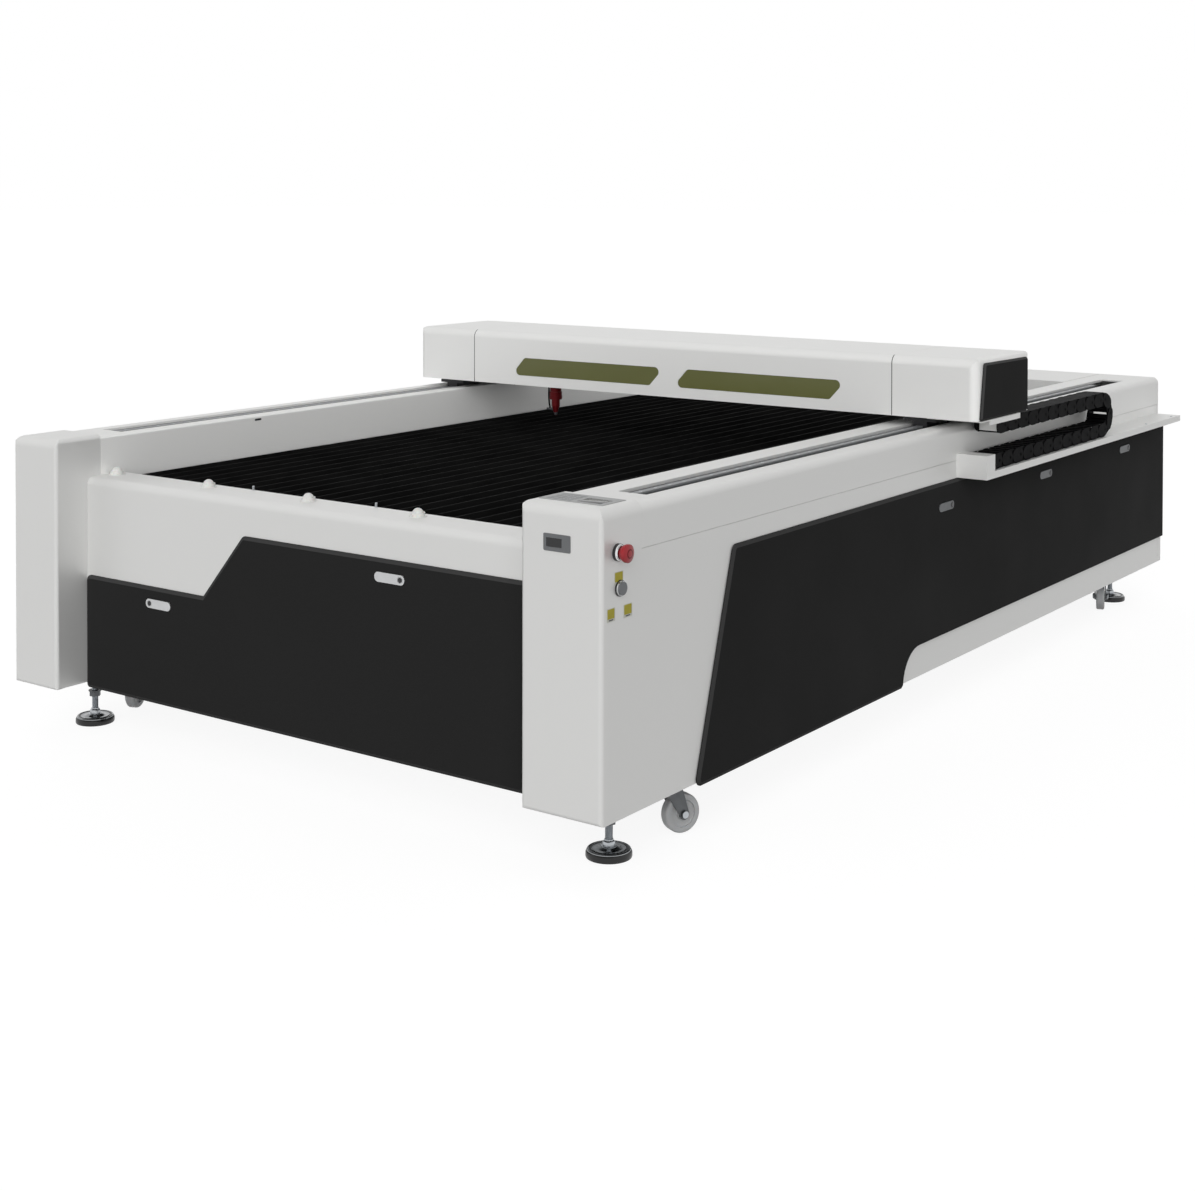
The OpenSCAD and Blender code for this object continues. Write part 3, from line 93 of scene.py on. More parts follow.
def colour(code: str) -> tuple[float, float, float, float]:
    """Turns an sRGB colour to the linear values that a shader takes.

    Args:
        code: Six hex digits, with or without a leading hash.

    Returns:
        Linear red, green and blue, and an opacity of 1.
    """
    code = code.lstrip("#")
    parts = [int(code[i : i + 2], 16) / 255 for i in (0, 2, 4)]
    line = [c / 12.92 if c <= 0.04045 else ((c + 0.055) / 1.055) ** 2.4 for c in parts]
    return (line[0], line[1], line[2], 1.0)


def add_node(
    tree: Tree,
    kind: str,
    inputs: dict[str | int, object] | None = None,
    **settings: object,
) -> bpy.types.Node:
    """Adds a node, applies its settings, and fills or links its inputs.

    Args:
        tree: Node tree that gets the node.
        kind: Blender's name of the node type.
        inputs: Value, or socket to link from, for each input by name or index.
        **settings: Properties of the node.

    Returns:
        The new node.
    """
    node = tree.nodes.new(kind)
    for name, value in settings.items():
        setattr(node, name, value)
    for key, value in (inputs or {}).items():
        if isinstance(value, Socket):
            tree.links.new(value, node.inputs[key])
        else:
            node.inputs[key].default_value = value
    return node


# ---- Finishes ----


@dataclass(frozen=True)
class Finish:
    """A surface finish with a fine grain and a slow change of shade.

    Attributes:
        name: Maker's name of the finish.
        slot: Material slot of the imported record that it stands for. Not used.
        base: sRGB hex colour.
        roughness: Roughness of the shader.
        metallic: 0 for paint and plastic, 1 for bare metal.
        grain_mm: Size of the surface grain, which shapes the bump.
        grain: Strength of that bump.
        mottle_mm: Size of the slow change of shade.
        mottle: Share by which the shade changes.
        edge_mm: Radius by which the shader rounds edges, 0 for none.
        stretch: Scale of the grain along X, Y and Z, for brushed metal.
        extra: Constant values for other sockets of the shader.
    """

    name: str
    slot: str
    base: str
    roughness: float = 0.5
    metallic: float = 0.0
    grain_mm: float = 2.0
    grain: float = 0.05
    mottle_mm: float = 180.0
    mottle: float = 0.04
    edge_mm: float = 0.0
    stretch: tuple[float, float, float] = (1.0, 1.0, 1.0)
    extra: tuple[tuple[str, float], ...] = ()

    def material(self) -> bpy.types.Material:
        """Builds the finish's material on its first use and finds it again later.

        Returns:
            The material.
        """
        found = bpy.data.materials.get(self.name)
        if found is not None:
            return found
        made = bpy.data.materials.new(self.name)
        made.use_nodes = True
        tree = made.node_tree
        tree.nodes.clear()
        shader = add_node(tree, "ShaderNodeBsdfPrincipled")
        shader.inputs["Metallic"].default_value = self.metallic
        for socket, value in self.extra:
            shader.inputs[socket].default_value = value
        place = add_node(tree, "ShaderNodeTexCoord").outputs["Object"]
        tree.links.new(self.shade(tree, place), shader.inputs["Base Color"])
        tree.links.new(self.gloss(tree, place), shader.inputs["Roughness"])
        tree.links.new(self.relief(tree, place), shader.inputs["Normal"])
        add_node(tree, "ShaderNodeOutputMaterial", {"Surface": shader.outputs[0]})
        made.diffuse_color = colour(self.base)
        return made

    def noise(self, tree: Tree, place: Socket, size_mm: float, detail: float) -> Socket:
        """Adds a noise.

        Args:
            tree: Node tree of the material.
            place: Socket of the Object coordinates.
            size_mm: Size of the noise's features.
            detail: Octaves of finer noise in it.

        Returns:
            The socket of the noise's value.
        """
        scaled = add_node(
            tree, "ShaderNodeMapping", {"Vector": place, "Scale": self.stretch}
        ).outputs[0]
        return add_node(
            tree,
            "ShaderNodeTexNoise",
            {"Vector": scaled, "Scale": 1000.0 / size_mm, "Detail": detail},
        ).outputs[0]

    def shade(self, tree: Tree, place: Socket) -> Socket:
        """Adds the base colour with its slow change of shade.

        Args:
            tree: Node tree of the material.
            place: Socket of the Object coordinates.

        Returns:
            The socket of the colour.
        """
        slow = self.noise(tree, place, self.mottle_mm, 3.0)
        level = add_node(
            tree,
            "ShaderNodeMapRange",
            {"Value": slow, "From Min": 0.3, "From Max": 0.7,
             "To Min": 1.0 - self.mottle, "To Max": 1.0 + self.mottle},
        ).outputs[0]
        return add_node(
            tree, "ShaderNodeVectorMath", {0: colour(self.base)[:3], "Scale": level},
            operation="SCALE",
        ).outputs[0]

    def gloss(self, tree: Tree, place: Socket) -> Socket:
        """Adds the roughness with faint wiped patches.

        Args:
            tree: Node tree of the material.
            place: Socket of the Object coordinates.

        Returns:
            The socket of the roughness.
        """
        patches = self.noise(tree, place, self.mottle_mm * 0.4, 4.0)
        return add_node(
            tree,
            "ShaderNodeMapRange",
            {"Value": patches, "From Min": 0.3, "From Max": 0.7,
             "To Min": self.roughness * 0.94, "To Max": min(1.0, self.roughness * 1.06)},
        ).outputs[0]

    def relief(self, tree: Tree, place: Socket) -> Socket:
        """Adds the grain's bump, over rounded edges if the finish has them.

        Args:
            tree: Node tree of the material.
            place: Socket of the Object coordinates.

        Returns:
            The socket of the normal.
        """
        fine = self.noise(tree, place, self.grain_mm, 2.0)
        bump = {"Height": fine, "Strength": self.grain, "Distance": self.grain_mm * MM}
        if self.edge_mm:
            bump["Normal"] = add_node(
                tree, "ShaderNodeBevel", {"Radius": self.edge_mm * MM}, samples=4
            ).outputs[0]
        return add_node(tree, "ShaderNodeBump", bump).outputs[0]


@dataclass(frozen=True)
class BurntBars(Finish):
    """Black anodised bars with soot in streaks, a shade paler than the black."""

    dust: str = "#232322"

    def shade(self, tree: Tree, place: Socket) -> Socket:
        """Adds streaks along Y, the way of the bars, over the base colour.

        Args:
            tree: Node tree of the material.
            place: Socket of the Object coordinates.

        Returns:
            The socket of the colour.
        """
        plain = super().shade(tree, place)
        streaks = add_node(
            tree, "ShaderNodeMapping", {"Vector": place, "Scale": (14.0, 0.5, 4.0)}
        ).outputs[0]
        lines = add_node(
            tree, "ShaderNodeTexNoise", {"Vector": streaks, "Scale": 6.0, "Detail": 5.0}
        ).outputs[0]
        share = add_node(
            tree,
            "ShaderNodeMapRange",
            {"Value": lines, "From Min": 0.52, "From Max": 0.72, "To Min": 0.0, "To Max": 0.55},
        ).outputs[0]
        return add_node(
            tree, "ShaderNodeMix", {0: share, 6: plain, 7: colour(self.dust)}, data_type="RGBA"
        ).outputs[2]


@dataclass(frozen=True)
class SlantHighlightCoat(Finish):
    """Powder coat that is drawn paler on slanted faces.

    It is a painted highlight for the light that the panels' slants catch and no
    trait of a real coat, so the slants stay paler under any light.
    """

    # Colour of the painted highlight on the slanted faces.
    edge: str = "#4C4C4C"

    def shade(self, tree: Tree, place: Socket) -> Socket:
        """Adds the painted highlight on the slanted faces over the base colour.

        Args:
            tree: Node tree of the material.
            place: Socket of the Object coordinates.

        Returns:
            The socket of the colour.
        """
        plain = super().shade(tree, place)
        normal = add_node(tree, "ShaderNodeTexCoord").outputs["Normal"]
        size = add_node(
            tree, "ShaderNodeVectorMath", {0: normal}, operation="ABSOLUTE"
        ).outputs[0]
        parts = add_node(tree, "ShaderNodeSeparateXYZ", {"Vector": size})
        flat = add_node(tree, "ShaderNodeMath", {0: parts.outputs[0], 1: parts.outputs[1]},
                        operation="MAXIMUM").outputs[0]
        square = add_node(tree, "ShaderNodeMath", {0: flat, 1: parts.outputs[2]},
                          operation="MAXIMUM").outputs[0]
        # Share of painted highlight: full on slanted faces, none on faces square to an axis.
        share = add_node(
            tree, "ShaderNodeMapRange",
            {"Value": square, "From Min": 0.84, "From Max": 0.97, "To Min": 1.0, "To Max": 0.0},
        ).outputs[0]
        return add_node(
            tree, "ShaderNodeMix", {0: share, 6: plain, 7: colour(self.edge)}, data_type="RGBA"
        ).outputs[2]


@dataclass(frozen=True)
class Spangled(Finish):
    """Hot-dip galvanised sheet with its crystal spangle."""

    spangle_mm: float = 18.0

    def shade(self, tree: Tree, place: Socket) -> Socket:
        """Adds crystal patches of different greys.

        Args:
            tree: Node tree of the material.
            place: Socket of the Object coordinates.

        Returns:
            The socket of the colour.
        """
        crystals = add_node(
            tree, "ShaderNodeTexVoronoi", {"Vector": place, "Scale": 1000.0 / self.spangle_mm}
        ).outputs["Color"]
        grey = add_node(tree, "ShaderNodeRGBToBW", {"Color": crystals}).outputs[0]
        level = add_node(
            tree, "ShaderNodeMapRange", {"Value": grey, "To Min": 0.82, "To Max": 1.1}
        ).outputs[0]
        return add_node(
            tree, "ShaderNodeVectorMath", {0: colour(self.base)[:3], "Scale": level},
            operation="SCALE",
        ).outputs[0]


# Most grains are drawn 1 to 8 mm across, because the real ones are finer than a
# render can show. The charcoal coat, the bars and the chain have a specular level
# far under the usual 0.5, at which the white world lays a grey veil over them.

# Powder coat cures with a fine orange peel, about 1 mm across; it is drawn at
# 4 mm, because the true size is finer than the render can show.
WHITE_COAT = Finish("white_powder_coat", "white_powder_coat", "#DADADA", 0.5,
                    grain_mm=4.0, grain=0.035, mottle=0.012, edge_mm=1.4,
                    extra=(("Specular IOR Level", 0.14),))
# Fine-texture charcoal powder coat: a dull, sandy film that shows only a low,
# wide highlight. Its slanted faces are drawn paler, a painted highlight.
CHARCOAL_COAT = SlantHighlightCoat("charcoal_texture_coat", "charcoal_powder_coat", "#2D2D2D",
                          0.7, grain_mm=3.0, grain=0.1, mottle=0.025, mottle_mm=700.0,
                          edge_mm=1.2,
                          extra=(("Specular IOR Level", 0.03),))
# Brushed-on frame enamel, uneven and half dull.
FRAME_ENAMEL = Finish("grey_frame_enamel", "grey_frame_paint", "#8D8F91", 0.5,
                      grain_mm=6.0, grain=0.08, mottle=0.06, edge_mm=1.0)
# Black anodised bars that stay dark and dull, with soot in streaks along them.
BED_BLACK = BurntBars("black_anodised_bars", "black_anodised", "#1A1A1A", 0.7,
                      grain_mm=3.0, grain=0.1, mottle=0.3, edge_mm=0.6,
                      extra=(("Specular IOR Level", 0.01),))
# Black anodised aluminium: an even satin black with soft highlights.
OPTICS_BLACK = Finish("black_anodised_mounts", "black_anodised", "#17171A", 0.4,
                      grain_mm=1.5, grain=0.03, edge_mm=0.5)
# Hot-dip galvanised sheet: crystals about 18 mm across, each its own grey.
GALVANISED = Spangled("galvanised_sheet", "galvanised_sheet", "#9B9EA1", 0.5, 0.85,
                      grain_mm=8.0, grain=0.03)
# Ground bearing steel: dull grey, with fine lines along Y, the way of the long rails.
RAIL_STEEL = Finish("ground_rail_steel", "rail_steel", "#8E9092", 0.55, 0.35,
                    grain_mm=2.5, grain=0.05, stretch=(1.0, 0.05, 1.0), edge_mm=0.5)
# Milled aluminium: pale bare metal with faint cutter lines along X.
MACHINED_ALUMINIUM = Finish("machined_aluminium", "plain_aluminium", "#B9BBBD", 0.33, 1.0,
                            grain_mm=3.0, grain=0.04, stretch=(0.08, 1.0, 1.0), edge_mm=0.6)
# Bright zinc plate: pale, faintly blue, with soft cloudy patches.
ZINC_PLATE = Finish("bright_zinc_plate", "zinc_plated", "#B4B8BC", 0.3, 1.0,
                    grain_mm=2.0, grain=0.03, mottle=0.08, mottle_mm=25.0, edge_mm=0.5)
# Pressed forks, zinc plated and passivated to a smoky grey.
FORK_ZINC = Finish("smoky_zinc_plate", "zinc_plated", "#5F6163", 0.4, 0.8,
                   grain_mm=2.0, grain=0.04, mottle=0.1, mottle_mm=20.0, edge_mm=0.5)
# Zinc castings plated with nickel: pale and half bright.
LATCH_CAST = Finish("nickel_plated_casting", "zinc_plated", "#C9CACB", 0.34, 0.75,
                    grain_mm=2.0, grain=0.03, mottle=0.04, mottle_mm=30.0, edge_mm=0.6)
# Flap latches cast in zinc and plated black nickel: smoky, with dull edges.
LATCH_DARK = Finish("black_nickel_casting", "zinc_plated", "#5C5E60", 0.42, 0.6,
                    grain_mm=2.0, grain=0.04, mottle=0.06, mottle_mm=30.0, edge_mm=0.6)
# Acetal balls and cups: milky, hard and smooth.
BALL_ACETAL = Finish("white_acetal_balls", "white_nylon", "#E2E2DF", 0.28,
                     grain_mm=2.0, grain=0.01, mottle=0.02, mottle_mm=20.0,
                     extra=(("Subsurface Weight", 0.1), ("Subsurface Scale", 0.003)))
# Pressed steel discs of the feet, bright where the dish rises to its neck.
PRESSED_STEEL = Finish("pressed_bright_steel", "zinc_plated", "#8A8C8E", 0.14, 1.0,
                       grain_mm=3.0, grain=0.03, mottle=0.1, mottle_mm=30.0)
# Chrome plate on polished metal: nearly a mirror, with bright edges.
CHROME_PLATE = Finish("chrome_plate", "chrome_plated", "#DCDDDE", 0.09, 1.0,
                      grain_mm=6.0, grain=0.008, mottle=0.02, edge_mm=0.3)
# Cast urethane belt with steel cords: a dull mid grey.
BELT_URETHANE = Finish("grey_urethane_belt", "belt_rubber", "#7E8081", 0.7,
                       grain_mm=2.0, grain=0.1, mottle=0.06)
# Moulded black rubber: deep black with a broad sheen.
FOOT_RUBBER = Finish("moulded_foot_rubber", "belt_rubber", "#0C0C0D", 0.34,
                     grain_mm=1.5, grain=0.08, mottle=0.1, mottle_mm=40.0)
# Glass-filled nylon: near black, satin, with a faint moulded grain.
CHAIN_NYLON = Finish("black_chain_nylon", "black_nylon", "#0D0D0E", 0.6,
                     grain_mm=1.5, grain=0.05, mottle=0.05, mottle_mm=60.0,
                     extra=(("Specular IOR Level", 0.03),))
# Cast nylon wheels: milky white, a little translucent at their rims.
WHEEL_NYLON = Finish("white_cast_nylon", "white_nylon", "#C4C5C6", 0.4,
                     grain_mm=1.5, grain=0.03, mottle=0.03, mottle_mm=50.0, edge_mm=0.8,
                     extra=(("Subsurface Weight", 0.03), ("Subsurface Scale", 0.004)))
# Printed polyester film: a flat, satin grey.
PANEL_FILM = Finish("grey_membrane_film", "panel_plastic", "#A3A4A4", 0.45,
                    grain_mm=1.2, grain=0.03, mottle=0.03)
# Raised key domes under the film, a shade darker than it.
KEY_FILM = Finish("embossed_key_film", "panel_plastic", "#8E9091", 0.5,
                  grain_mm=1.2, grain=0.03, mottle=0.03)
# Moulded grey ABS: satin, with a fine grain.
DISPLAY_GREY = Finish("grey_abs_housing", "panel_plastic", "#6E7072", 0.45,
                      grain_mm=1.0, grain=0.06, mottle=0.05)
# Polished smoked acrylic: nearly black and glossy.
SMOKED_LENS = Finish("smoked_acrylic_lens", "panel_plastic", "#16181B", 0.08,
                     grain_mm=20.0, grain=0.004, mottle=0.02)
# Moulded black ABS: satin, and not as deep a black as the rubber.
DARK_ABS = Finish("black_abs_moulding", "dark_plastic", "#202123", 0.36,
                  grain_mm=1.0, grain=0.04, mottle=0.05)
# Moulded smoke-grey plastic: smooth, with a soft sheen.
CAP_GREY = Finish("smoke_grey_cap", "dark_plastic", "#6F7276", 0.3,
                  grain_mm=1.0, grain=0.02, mottle=0.04)
# Moulded signal-red ABS: a strong red with a clear highlight.
RED_ABS = Finish("signal_red_abs", "red_plastic", "#A81E27", 0.34,
                 grain_mm=3.0, grain=0.02, mottle=0.03)
# Red anodised aluminium: a dark metallic red, satin.
RED_ANODISED = Finish("red_anodised_aluminium", "red_anodised", "#6E1017", 0.36, 0.6,
                      grain_mm=1.5, grain=0.03, edge_mm=0.5)
# Sprayed black enamel: satin, with a slight orange peel.
MOTOR_PAINT = Finish("black_motor_enamel", "motor_black", "#1A1A1C", 0.45,
                     grain_mm=2.5, grain=0.08, edge_mm=0.8)
# Olive laser-safety acrylic, cast and polished, nearly opaque.
SAFETY_ACRYLIC = Finish("olive_safety_acrylic", "window_tint", "#63653A", 0.2,
                        grain_mm=60.0, grain=0.01, mottle=0.02,
                        extra=(("Specular IOR Level", 0.3), ("Coat Weight", 0.12),
                               ("Coat Roughness", 0.06)))
# Drawn borosilicate glass: clear, with a faint cool tint and sharp highlights.
TUBE_GLASS = Finish("borosilicate_tube", "borosilicate", "#DDEBEA", 0.04,
                    grain_mm=60.0, grain=0.006, mottle=0.01,
                    extra=(("IOR", 1.47), ("Transmission Weight", 0.85)))
# Matt self-adhesive vinyl with a faint laid texture.
WHITE_VINYL = Finish("white_vinyl_backing", "panel_plastic", "#D6D6CC", 0.5,
                     grain_mm=1.5, grain=0.03, mottle=0.03, mottle_mm=10.0)
# Printed yellow vinyl: matt and slightly dull.
YELLOW_VINYL = Finish("yellow_vinyl_plate", "panel_plastic", "#B7AB2E", 0.5,
                      grain_mm=1.5, grain=0.04, mottle=0.06, mottle_mm=8.0)


# ---- Mesh helpers ----


def millimetres(*points: tuple[float, float]) -> list[tuple[float, float]]:
    """Turns points that are given in millimetres to metres."""
    return [(x * MM, y * MM) for x, y in points]


def polygon(sides: int, radius: float, start: float = 0.0) -> list[tuple[float, float]]:
    """Lists the corners of a regular polygon about the origin.

    Args:
        sides: Number of corners.
        radius: Distance of the corners from the origin.
        start: Angle of the first corner, in degrees.

    Returns:
        The corners in order.
    """
    return [
        (radius * math.cos(math.tau * i / sides + math.radians(start)),
         radius * math.sin(math.tau * i / sides + math.radians(start)))
        for i in range(sides)
    ]


def turned(mesh: Mesh, profile: Outline, sides: int, pitch: float = 0.0) -> list[list[Vert]]:
    """Turns a profile about Z into bands of faces that are open at both ends.

    Args:
        mesh: Mesh that gets the bands.
        profile: Radius and height of each ring.
        sides: Corners of each ring.
        pitch: Rise of every ring over one turn.

    Returns:
        The corners of each ring.
    """
    rings = [[mesh.verts.new((x, y, height + pitch * i / sides))
              for i, (x, y) in enumerate(polygon(sides, radius))]
             for radius, height in profile]
    skin(mesh, rings)
    return rings


def skin(mesh: Mesh, rings: Sequence[Sequence[Vert]]) -> None:
    """Joins each ring of corners to the next one with a band of faces.

    Args:
        mesh: Mesh that the rings belong to.
        rings: Rings with the same number of corners, in order.
    """
    for low, high in zip(rings, rings[1:]):
        for i in range(len(low)):
            j = (i + 1) % len(low)
            mesh.faces.new((low[i], low[j], high[j], high[i]))


def lathe(profile: Outline, sides: int = 40, pitch: float = 0.0) -> Mesh:
    """Turns a profile about Z into a closed mesh.

    Args:
        profile: Radius and height of each ring, in metres, from one end to the other.
        sides: Corners of each ring.
        pitch: Rise of every ring over one turn, which makes a ringed profile a thread.

    Returns:
        A mesh that is closed by a flat end at each end of the profile.
    """
    mesh = bmesh.new()
    rings = turned(mesh, profile, sides, pitch)
    mesh.faces.new(list(reversed(rings[0])))
    mesh.faces.new(rings[-1])
    bmesh.ops.recalc_face_normals(mesh, faces=mesh.faces)
    return mesh


def slab(outline: Outline, thickness: float, edge: float = 0.0, steps: int = 2) -> Mesh:
    """Extrudes an outline upwards from Z = 0 and rounds its upper edge.

    Args:
        outline: Corners in order, in metres.
        thickness: Height of the slab.
        edge: Radius of its upper edge.
        steps: Segments of that radius.

    Returns:
        The closed mesh.
    """
    mesh = bmesh.new()
    low = [mesh.verts.new((x, y, 0.0)) for x, y in outline]
    high = [mesh.verts.new((x, y, thickness)) for x, y in outline]
    mesh.faces.new(list(reversed(low)))
    top = mesh.faces.new(high)
    skin(mesh, (low, high))
    if edge:
        bmesh.ops.bevel(mesh, geom=list(top.edges), offset=edge, segments=steps,
                        affect="EDGES", profile=0.5)
    bmesh.ops.recalc_face_normals(mesh, faces=mesh.faces)
    return mesh


def rounded(
    width: float, height: float, radius: float, steps: int = 5
) -> list[tuple[float, float]]:
    """Lists the outline of a rectangle with round corners, centred on the origin.

    Args:
        width: Size along X.
        height: Size along Y.
        radius: Radius of the corners.
        steps: Segments of each corner.

    Returns:
        The points in order.
    """
    points = []
    corners = ((1, 1, 0), (-1, 1, 90), (-1, -1, 180), (1, -1, 270))
    for sx, sy, start in corners:
        cx, cy = sx * (width / 2 - radius), sy * (height / 2 - radius)
        for i in range(steps + 1):
            angle = math.radians(start + 90 * i / steps)
            points.append((cx + radius * math.cos(angle), cy + radius * math.sin(angle)))
    return points


def merged(*meshes: Mesh) -> Mesh:
    """Joins meshes into the first one and frees the others.

    Args:
        *meshes: The meshes, each in place.

    Returns:
        The first mesh, which holds them all.
    """
    first = meshes[0]
    for other in meshes[1:]:
        spare = bpy.data.meshes.new("spare")
        other.to_mesh(spare)
        other.free()
        first.from_mesh(spare)
        bpy.data.meshes.remove(spare)
    return first


def moved(mesh: Mesh, place: Matrix) -> Mesh:
    """Applies a placement to a mesh and returns it."""
    mesh.transform(place)
    return mesh


def shift(x: float, y: float, z: float) -> Matrix:
    """Returns the placement at a point."""
    return Matrix.Translation((x, y, z))


def facing(axis: Axis, x: float, y: float, z: float) -> Matrix:
    """Returns the placement at a point with +Z along an axis."""
    return shift(x, y, z) @ axis.turn()


# Stands a slab up on its edge: its X goes to Y, its Y to Z and its height to X.
ON_EDGE = Matrix(((0, 0, 1, 0), (1, 0, 0, 0), (0, 1, 0, 0), (0, 0, 0, 1)))


def hose(path: Sequence[Vector], radius: float, sides: int = 12) -> Mesh:
    """Sweeps a round section along a path of points.

    Args:
        path: Points of the centre line.
        radius: Radius of the section.
        sides: Corners of the section.

    Returns:
        The closed mesh.
    """
    mesh = bmesh.new()
    rings = []
    for i, point in enumerate(path):
        along = (path[min(i + 1, len(path) - 1)] - path[max(i - 1, 0)]).normalized()
        across = along.orthogonal() if i == 0 else (across - across.dot(along) * along)
        across.normalize()
        other = along.cross(across)
        rings.append([mesh.verts.new(point + radius * (
            math.cos(math.tau * k / sides) * across
            + math.sin(math.tau * k / sides) * other)) for k in range(sides)])
    skin(mesh, rings)
    mesh.faces.new(rings[0])
    mesh.faces.new(rings[-1])
    bmesh.ops.recalc_face_normals(mesh, faces=mesh.faces)
    return mesh


def soften(item: bpy.types.Object, angle: float = 35.0) -> None:
    """Shades an object smooth across its flatter edges.

    Args:
        item: The object.
        angle: Turn between two faces, in degrees, past which their edge stays sharp.
    """
    for face in item.data.polygons:
        face.use_smooth = True
    item.data.set_sharp_from_angle(angle=math.radians(angle))


def make_object(mesh: Mesh, name: str) -> bpy.types.Object:
    """Turns a bmesh into an object at the origin and frees the bmesh.

    Args:
        mesh: The shape, in place.
        name: Name of the object.

    Returns:
        The object, linked to the scene.
    """
    data = bpy.data.meshes.new(name)
    mesh.to_mesh(data)
    mesh.free()
    item = bpy.data.objects.new(name, data)
    bpy.context.scene.collection.objects.link(item)
    return item


def piece(
    mesh: Mesh | bpy.types.Object,
    name: str,
    finish: Finish,
    body: str = ROOT,
    stands_for: Sequence[str] = (),
) -> bpy.types.Object:
    """Finishes a mesh and hangs it on a body of the frame.

    Args:
        mesh: The shape, in place.
        name: Name of the piece.
        finish: Its finish.
        body: Body that it moves with.
        stands_for: CAD nodes that it replaces.

    Returns:
        The piece.
    """
    item = mesh if isinstance(mesh, bpy.types.Object) else make_object(mesh, name)
    if not item.data.materials:
        item.data.materials.append(finish.material())
    soften(item)
    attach(item, body)
    if stands_for:
        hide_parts(*stands_for)
    LOG.info("piece %s: %d faces on %s", name, len(item.data.polygons), body)
    return item


def dress(finish: Finish, *nodes: str) -> None:
    """Gives CAD nodes a finish and leaves their meshes as they are.

    Args:
        finish: The finish.
        *nodes: Names of the nodes.
    """
    for node in nodes:
        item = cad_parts[node]
        item.data.materials.clear()
        item.data.materials.append(finish.material())
        LOG.info("CAD node %s: %s", node, finish.name)


# ---- Repeats ----


class Repeater:
    """Sets copies of a small part on points, with a tree of geometry nodes."""

    def __init__(self) -> None:
        """Builds the tree once."""
        tree = bpy.data.node_groups.new("set_parts_on_points", "GeometryNodeTree")
        face = tree.interface
        face.new_socket("Points", in_out="INPUT", socket_type="NodeSocketGeometry")
        for label, kind in (("Part", "NodeSocketObject"), ("Turn", "NodeSocketRotation"),
                            ("Spin", "NodeSocketFloat"), ("Finish", "NodeSocketMaterial")):
            face.new_socket(label, in_out="INPUT", socket_type=kind)
        face.new_socket("Parts", in_out="OUTPUT", socket_type="NodeSocketGeometry")
        given = add_node(tree, "NodeGroupInput").outputs
        part = add_node(tree, "GeometryNodeObjectInfo", {"Object": given["Part"]})
        copies = add_node(
            tree,
            "GeometryNodeInstanceOnPoints",
            {"Points": given["Points"], "Instance": part.outputs["Geometry"],
             "Rotation": given["Turn"]},
        )
        chance = add_node(
            tree, "FunctionNodeRandomValue",
            {"Min": (0.0, 0.0, 0.0), "Max": (0.0, 0.0, math.tau), "Seed": 7},
            data_type="FLOAT_VECTOR",
        )
        spin = add_node(
            tree, "ShaderNodeVectorMath", {0: chance.outputs[0], "Scale": given["Spin"]},
            operation="SCALE",
        )
        spun = add_node(
            tree,
            "GeometryNodeRotateInstances",
            {"Instances": copies.outputs[0], "Rotation": spin.outputs[0], "Local Space": True},
        )
        real = add_node(tree, "GeometryNodeRealizeInstances", {"Geometry": spun.outputs[0]})
        dressed = add_node(
            tree, "GeometryNodeSetMaterial",
            {"Geometry": real.outputs[0], "Material": given["Finish"]},
        )
        add_node(tree, "NodeGroupOutput", {0: dressed.outputs[0]})
        self.tree = tree
        self.sockets = {s.name: s.identifier for s in face.items_tree if s.in_out == "INPUT"}

    def place(
        self,
        part: Mesh,
        points: Sequence[tuple[float, float, float]],
        axis: Axis,
        finish: Finish,
        name: str,
        body: str = ROOT,
        spin: float = 1.0,
    ) -> bpy.types.Object:
        """Sets the part on every point and hangs the result on a body.

        Args:
            part: The small part, built at the origin with +Z outwards.
            points: Where its copies go.
            axis: Direction that they face.
            finish: Their finish.
            name: Name of the piece.
            body: Body that it moves with.
            spin: Share of a full turn over which the copies are turned at random.

        Returns:
            The piece.
        """
        template = make_object(part, name + "_template")
        cloud = bpy.data.meshes.new(name)
        cloud.from_pydata([tuple(p) for p in points], [], [])
        carrier = bpy.data.objects.new(name, cloud)
        bpy.context.scene.collection.objects.link(carrier)
        maker = carrier.modifiers.new("repeat", "NODES")
        maker.node_group = self.tree
        values = {"Part": template, "Turn": tuple(axis.turn().to_euler()), "Spin": spin,
                  "Finish": finish.material()}
        for label, value in values.items():
            maker[self.sockets[label]] = value
        carrier.update_tag()
        bpy.context.view_layer.update()
        solid = bpy.data.meshes.new_from_object(
            carrier.evaluated_get(bpy.context.evaluated_depsgraph_get())
        )
        carrier.modifiers.clear()
        carrier.data = solid
        bpy.data.meshes.remove(cloud)
        bpy.data.objects.remove(template)
        return piece(carrier, name, finish, body)


def button_screw(diameter: float, height: float) -> Mesh:
    """Makes a button-head screw with a round socket, its underside at Z = 0.

    Args:
        diameter: Diameter of the head.
        height: Height of the head.

    Returns:
        The closed mesh.
    """
    r = diameter / 2
    mesh = bmesh.new()
    profile = [(r, 0.0), (r * 0.94, height * 0.55), (r * 0.7, height), (r * 0.46, height)]
    rings = turned(mesh, profile, 12)
    mesh.faces.new(list(reversed(rings[0])))
    floor = [mesh.verts.new((v.co.x * 0.94, v.co.y * 0.94, height * 0.35)) for v in rings[-1]]
    skin(mesh, (rings[-1], floor))
    mesh.faces.new(floor)
    bmesh.ops.recalc_face_normals(mesh, faces=mesh.faces)
    return mesh


# ---- Sub-assemblies ----


